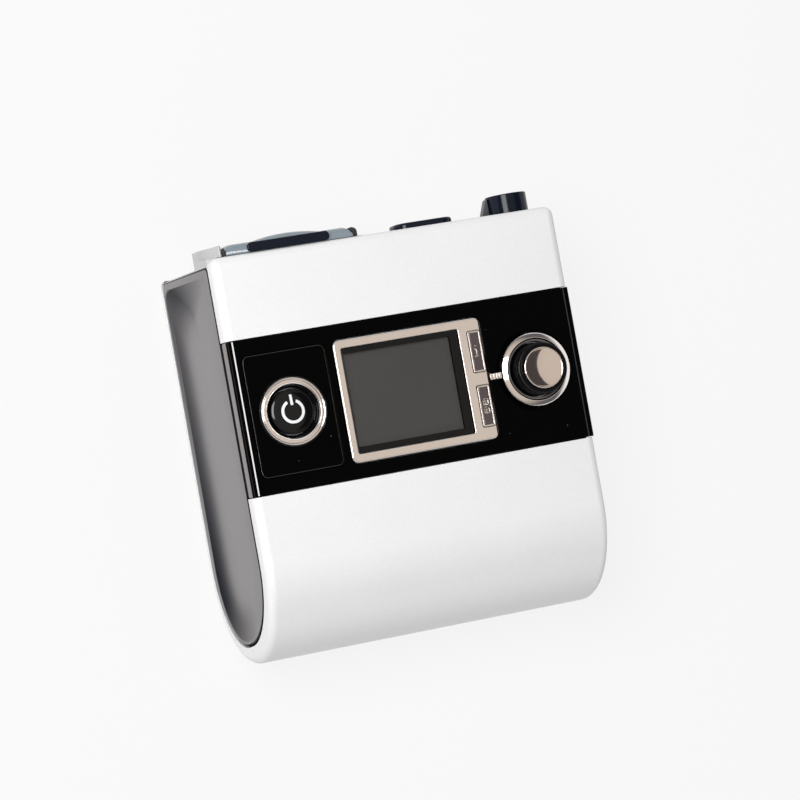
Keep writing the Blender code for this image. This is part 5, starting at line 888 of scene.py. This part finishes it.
def hollowed(piece, *tools):
    """Cut a piece with other meshes by exact Booleans, keep the result as its mesh, and drop the tools."""
    for tool in tools:
        cutter = piece.modifiers.new("hollow", "BOOLEAN")
        cutter.operation, cutter.solver, cutter.object = "DIFFERENCE", "EXACT", tool
    baked = bpy.data.meshes.new_from_object(piece.evaluated_get(bpy.context.evaluated_depsgraph_get()))
    piece.modifiers.clear()
    piece.data = baked
    for tool in tools:
        bpy.data.objects.remove(tool, do_unlink=True)
    return piece


def cutter_box(low, high):
    """A box between two corners, to cut with."""
    low, high = np.asarray(low, float), np.asarray(high, float)
    pick = np.array([(0, 0, 0), (1, 0, 0), (1, 1, 0), (0, 1, 0), (0, 0, 1), (1, 0, 1), (1, 1, 1), (0, 1, 1)])
    points = low + pick * (high - low) + HOME
    mesh = bpy.data.meshes.new("cutter")
    mesh.from_pydata(points.tolist(), [], [(3, 2, 1, 0), (4, 5, 6, 7), (0, 1, 5, 4), (1, 2, 6, 5),
                                           (2, 3, 7, 6), (3, 0, 4, 7)])
    box = bpy.data.objects.new("cutter", mesh)
    scene.collection.objects.link(box)
    return box


clear_blue = finish("clear_blue", (0.25, 0.30, 0.34), 0.12, fineness=420.0, speckle=0.10, cloud=0.12,
                    spread=0.06, relief=0.10, Alpha=0.82, Specular_IOR_Level=0.6)
rings = filter_cover_rings()
filter_cover = model("filter_cover_clear", rings, skin(rings), clear_blue, "filter_door", ["filter_cover"],
                     crisp=40.0)
VENT_LOW, VENT_HIGH, VENT_COUNT, VENT_HALF = 0.0566, 0.0671, 4, 0.0008
vents = VENT_LOW + (VENT_HIGH - VENT_LOW) * (np.arange(VENT_COUNT) + 0.5) / VENT_COUNT
hollowed(filter_cover, cutter_box((-0.0608, 0.150, VENT_LOW), (-0.0131, 0.1570, 0.0686)),
         *[cutter_box((-0.0574, 0.1560, z - VENT_HALF), (-0.0165, 0.1620, z + VENT_HALF)) for z in vents])


def rounded_prism(name, low, high, corner, soft, axis, look, body, replaced):
    """A block with arcs at the corners of its outline across one axis, and ends softened by quarter arcs:
    the outline is drawn in by soft * (1 - cos t) as it runs soft * sin t further out."""
    low, high = np.asarray(low, float), np.asarray(high, float)
    flat = [k for k in range(3) if k != axis]
    box = np.array([(low[flat[0]], low[flat[1]]), (high[flat[0]], low[flat[1]]),
                    (high[flat[0]], high[flat[1]]), (low[flat[0]], high[flat[1]])])
    inward = np.array([(1, 1), (-1, 1), (-1, -1), (1, -1)])
    turn = arc(0.0, math.pi / 2, 5)
    drawn_in, short = soft * (1 - np.cos(turn)), soft * (1 - np.sin(turn))
    inset = np.concatenate((drawn_in[::-1], drawn_in))
    way = np.concatenate((low[axis] + short[::-1], high[axis] - short))
    rings = np.empty((len(way), 4 * 9, 3))
    for row, (shift, level) in enumerate(zip(inset, way)):
        rings[row][:, flat] = bends(box + inward * shift, [max(corner - shift, 0.0001)] * 4, 8, closed=True)
        rings[row][:, axis] = level
    return model(name, rings, skin(rings), look, body, replaced, crisp=40.0)


rounded_prism("filter_grip_gloss", (-0.0542, 0.1544, 0.0719), (-0.0213, 0.1580, 0.0734), 0.0016, 0.0005, 2,
              navy, "filter_door", ["filter_grip"])

# The pad is a blown felt of white and blue fibres, quilted by its own loose weave.
felt, tree, shader = principled("filter_felt", Specular_IOR_Level=0.1)
place = add(tree, "TexCoord").outputs["Object"]
streaks = add(tree, "Mapping", {"Vector": place, "Scale": (2600.0, 900.0, 2600.0)}).outputs[0]
fibres = add(tree, "TexNoise", {"Vector": streaks, "Scale": 1.0, "Detail": 6.0, "Roughness": 0.75})
fibres = fibres.outputs["Fac"]
shade = ramp(tree, fibres, [(0.3, (0.42, 0.50, 0.56)), (0.7, (0.82, 0.85, 0.86))])
fuzz = add(tree, "Bump", {"Height": fibres, "Strength": 0.9, "Distance": 0.0003})
matt = add(tree, "MapRange", {"Value": fibres, "To Min": 0.85, "To Max": 1.0})
feed(tree, shader, {"Base Color": shade, "Roughness": matt.outputs[0], "Normal": fuzz.outputs["Normal"]})


def soft_block(name, low, high, round_by, swell, look, body, node, wobble=0.00012):
    """A pad cut from a sheet: a rounded box, each face bulged by swell * (1 - u^2)(1 - v^2) and roughened."""
    low, high = np.asarray(low, float), np.asarray(high, float)
    shape = bmesh.new()
    bmesh.ops.create_cube(shape, size=2.0)
    bmesh.ops.subdivide_edges(shape, edges=shape.edges, cuts=23, use_grid_fill=True)
    unit = np.array([vert.co for vert in shape.verts])
    faces = [[vert.index for vert in face.verts] for face in shape.faces]
    shape.free()
    half = (high - low) / 2
    inner = half - round_by - swell
    flat = unit * (half - swell)
    core = np.clip(flat, -inner, inner)
    away = flat - core
    length = np.linalg.norm(away, axis=1, keepdims=True)
    outer = core + away / np.maximum(length, 1e-9) * np.minimum(length, round_by)
    crown = swell * np.stack([(1 - unit[:, (k + 1) % 3] ** 2) * (1 - unit[:, (k + 2) % 3] ** 2)
                              * np.sign(unit[:, k]) * (np.abs(unit[:, k]) > 0.999) for k in range(3)], 1)
    ripple = np.sin(outer[:, 0:1] * 1900 + 3 * np.sin(outer[:, 2:3] * 1300)) * np.sin(outer[:, 2:3] * 2100)
    points = (low + high) / 2 + outer + crown - wobble * (1 + ripple) * np.sign(unit) * (
        np.abs(unit) > 0.999)
    piece = model(name, points, faces, look, body, [node], crisp=80.0)
    return piece


low, high = (np.array(corner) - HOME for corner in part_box("air_filter"))
soft_block("air_filter_felt", low, high, 0.0008, 0.0004, felt, "filter_door", "air_filter")


# Rear wall fittings: the card slot's pull-off cover, the mains and low-voltage sockets of black nylon with
# plated pins, and the wire-like clip that swings up to free the mains plug.
black_nylon = finish("black_nylon", (0.022, 0.022, 0.024), 0.44, fineness=1700.0, speckle=0.18, cloud=0.12,
                     spread=0.08, relief=0.5)
card_face = rounded_prism("card_cover_gloss", (0.0080, 0.1523, 0.0547), (0.0318, 0.1566, 0.0685), 0.0050,
                          0.0010, 1, navy, "card_door", ["card_cover"])
card_plug = rounded_prism("card_cover_plug", (0.0107, 0.1502, 0.0575), (0.0291, 0.1530, 0.0657), 0.0006,
                          0.0002, 1, black_nylon, "card_door", [])
for piece in (card_face, card_plug):
    hollowed(piece, cutter_box((0.0119, 0.1490, 0.0587), (0.0279, 0.1552, 0.0645)))
refined("ac_inlet_moulding", "ac_inlet", black_nylon, "case", edge=0.00025)
refined("retention_clip_moulding", "retention_clip", black_nylon, "plug_clip", edge=0.0004,
        turns=3)
SOCKET_X, SOCKET_Z = 0.008, 0.024
lathe("dc_inlet_turned", [(0.0, 0.1455), (0.0011, 0.1455), (0.0011, 0.1405), (0.0054, 0.1405),
                          (0.0054, 0.1535), (0.0086, 0.1535), (0.0086, 0.1523), (0.0068, 0.1523),
                          (0.0068, 0.1385), (0.0, 0.1385)],
      [0, 0.0004, 0, 0, 0.0003, 0.0004, 0.0001, 0, 0.0002, 0], (SOCKET_X, 0.0, SOCKET_Z), black_nylon, "case",
      ["dc_inlet"], rearward=True, count=64, steps=4, crisp=60.0)
pin_metal = polish("pin_metal", (0.78, 0.76, 0.72), 0.22, dust=0.1, Metallic=1.0)
for number, (x, z, reach, radius, foot) in enumerate(((SOCKET_X, SOCKET_Z, 0.1457, 0.00125, 0.1407),
                                                      (-0.0403, 0.024, 0.1492, 0.00132, 0.1407),
                                                      (-0.0317, 0.024, 0.1492, 0.00132, 0.1407)), start=1):
    lathe(f"socket_pin_{number}", [(0.0, reach), (radius, reach), (radius, foot), (0.0, foot)],
          [0, 0.0007, 0.0001, 0], (x, 0.0, z), pin_metal, "case", [], rearward=True, count=32,
          steps=4, crisp=60.0)


# Controls' frame and boards: the frame is a white ABS moulding whose ends, where they show beside the band,
# are grey. The boards are green glass-fibre laminate with copper tracks under the solder mask.
white_plastic = finish("white_plastic", (0.70, 0.70, 0.66), 0.48, fineness=1500.0, speckle=0.08, cloud=0.06,
                       relief=0.3)
control_frame = refined("control_frame_moulding", "control_frame", white_plastic, "case",
                        edge=0.0002)
control_frame.data.materials.append(side_grey)
end_faces = np.abs([face.center[0] for face in control_frame.data.polygons]) > 0.0665
control_frame.data.polygons.foreach_set("material_index", end_faces.astype(int))

laminate, tree, shader = principled("board_laminate")
place = add(tree, "TexCoord").outputs["Object"]
tracks = add(tree, "TexBrick", {"Vector": place, "Color1": (0.016, 0.120, 0.052, 1.0),
                                "Color2": (0.020, 0.150, 0.066, 1.0), "Mortar": (0.060, 0.270, 0.120, 1.0),
                                "Scale": 1.0, "Mortar Size": 0.00022, "Brick Width": 0.0073,
                                "Row Height": 0.0021}, offset=0.37).outputs
vias = add(tree, "TexVoronoi", {"Vector": place, "Scale": 260.0}).outputs["Distance"]
tinned = mixed(tree, combine(tree, "LESS_THAN", vias, 0.16), tracks["Color"], (0.62, 0.60, 0.52, 1.0))
level = add(tree, "Bump", {"Height": tracks["Fac"], "Strength": 0.4, "Distance": 0.00004})
sheen = add(tree, "MapRange", {"Value": tracks["Fac"], "To Min": 0.28, "To Max": 0.40})
feed(tree, shader, {"Base Color": tinned, "Roughness": sheen.outputs[0], "Normal": level.outputs["Normal"]})
repaint(laminate, "main_board", "supply_board")


# Switches and encoder: small bodies of black nylon soldered to the main board; the encoder's shaft is turned
# steel and its plunger black nylon.
repaint(black_nylon, "power_switch", "info_switch", "menu_switch", "card_connector")
refined("encoder_body_moulding", "encoder_body", black_nylon, "case", edge=0.0002)
repaint(black_nylon, "encoder_plunger")


# Blower: a scroll housing of white glass-filled nylon in two halves, a nine-bladed wheel of the same on a
# ground steel shaft in two ball bearings, and a motor can of zinc-plated steel. Rubber mounts hold it.
turned_steel, tree, shader = principled("turned_steel", Metallic=1.0)
place = add(tree, "TexCoord").outputs["Object"]
lines = add(tree, "Mapping", {"Vector": place, "Scale": (60.0, 60.0, 9000.0)}).outputs[0]
scores = add(tree, "TexNoise", {"Vector": lines, "Scale": 1.0, "Detail": 4.0}).outputs["Fac"]
metal = ramp(tree, scores, [(0.3, (0.48, 0.49, 0.51)), (0.7, (0.62, 0.63, 0.65))])
worn = add(tree, "MapRange", {"Value": scores, "To Min": 0.22, "To Max": 0.38})
scored = add(tree, "Bump", {"Height": scores, "Strength": 0.25, "Distance": 0.00003})
feed(tree, shader, {"Base Color": metal, "Roughness": worn.outputs[0], "Normal": scored.outputs["Normal"]})
refined("volute_lower_moulding", "volute_lower", white_plastic, "case", edge=0.0002)
refined("volute_upper_moulding", "volute_upper", white_plastic, "case", edge=0.0002)
refined("impeller_moulding", "impeller", white_plastic, "blower_rotor", edge=0.0001)
refined("motor_can", "motor", turned_steel, "case", edge=0.0003, turns=3)
repaint(turned_steel, "motor_shaft", "lower_bearing", "upper_bearing", "encoder_shaft")
repaint(rubber, "blower_mount_1", "blower_mount_2", "blower_mount_3", "outlet_duct")


# Muffler: open-cell foam, cut from a block and pressed in front of the filter bay.
foam, tree, shader = principled("muffler_foam", Specular_IOR_Level=0.1)
place = add(tree, "TexCoord").outputs["Object"]
cells = add(tree, "TexVoronoi", {"Vector": place, "Scale": 1300.0}).outputs["Distance"]
shade = ramp(tree, cells, [(0.1, (0.035, 0.035, 0.040)), (0.8, (0.150, 0.150, 0.160))])
pores = add(tree, "Bump", {"Height": cells, "Strength": 1.0, "Distance": 0.0004})
matt = add(tree, "MapRange", {"Value": cells, "To Min": 0.9, "To Max": 1.0})
feed(tree, shader, {"Base Color": shade, "Roughness": matt.outputs[0], "Normal": pores.outputs["Normal"]})
low, high = (np.array(corner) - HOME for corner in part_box("muffler_foam"))
soft_block("muffler_foam_block", low, high, 0.0012, 0.0005, foam, "case", "muffler_foam")


# Power supply: the transformer's ferrite core has a coil wound on its middle leg under yellow tape, and the
# smoothing capacitor stands in a dark blue sleeve with its vented aluminium end on top.
ferrite = finish("ferrite", (0.045, 0.042, 0.042), 0.62, fineness=2400.0, speckle=0.35, cloud=0.1, relief=0.5)
tape = finish("winding_tape", (0.62, 0.47, 0.08), 0.34, fineness=900.0, speckle=0.10, cloud=0.18, spread=0.12)
low, high = (np.array(corner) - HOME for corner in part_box("transformer"))
third = (high[1] - low[1]) / 3
rounded_prism("transformer_winding", (low[0] + 0.001, low[1] + third * 0.35, low[2] + 0.002),
              (high[0] - 0.001, high[1] - third * 0.35, high[2] - 0.002), 0.0028, 0.0006, 2, tape, "case",
              ["transformer"])
for end, start, stop in (("front", low[1], low[1] + third), ("rear", high[1] - third, high[1])):
    rounded_prism(f"transformer_core_{end}", (low[0], start, low[2]), (high[0], stop, high[2]), 0.0006,
                  0.0004, 2, ferrite, "case", [])
sleeve = finish("capacitor_sleeve", (0.020, 0.028, 0.075), 0.30, fineness=800.0, speckle=0.08, cloud=0.1)
low, high = (np.array(corner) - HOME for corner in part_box("capacitor"))
middle, wide, top = (low + high) / 2, (high[0] - low[0]) / 2, high[2]
lathe("capacitor_sleeved", [(0.0, top - 0.0004), (wide - 0.0012, top - 0.0004), (wide - 0.0010, top),
                            (wide - 0.0002, top - 0.0004), (wide, top - 0.0012), (wide, low[2] + 0.0045),
                            (wide - 0.0009, low[2] + 0.0036), (wide, low[2] + 0.0027), (wide, low[2]),
                            (0.0, low[2])],
      [0, 0.0002, 0.0003, 0.0003, 0.0003, 0.0006, 0.0006, 0.0006, 0.0003, 0], (middle[0], middle[1], 0.0),
      sleeve, "case", ["capacitor"], count=64, steps=4, crisp=60.0)
lathe("capacitor_vent", [(0.0, top - 0.0001), (wide - 0.0014, top - 0.0001), (wide - 0.0014, top - 0.0006),
                         (0.0, top - 0.0006)],
      [0, 0.0002, 0, 0], (middle[0], middle[1], 0.0), turned_steel, "case", [], count=64, steps=3,
      crisp=60.0)
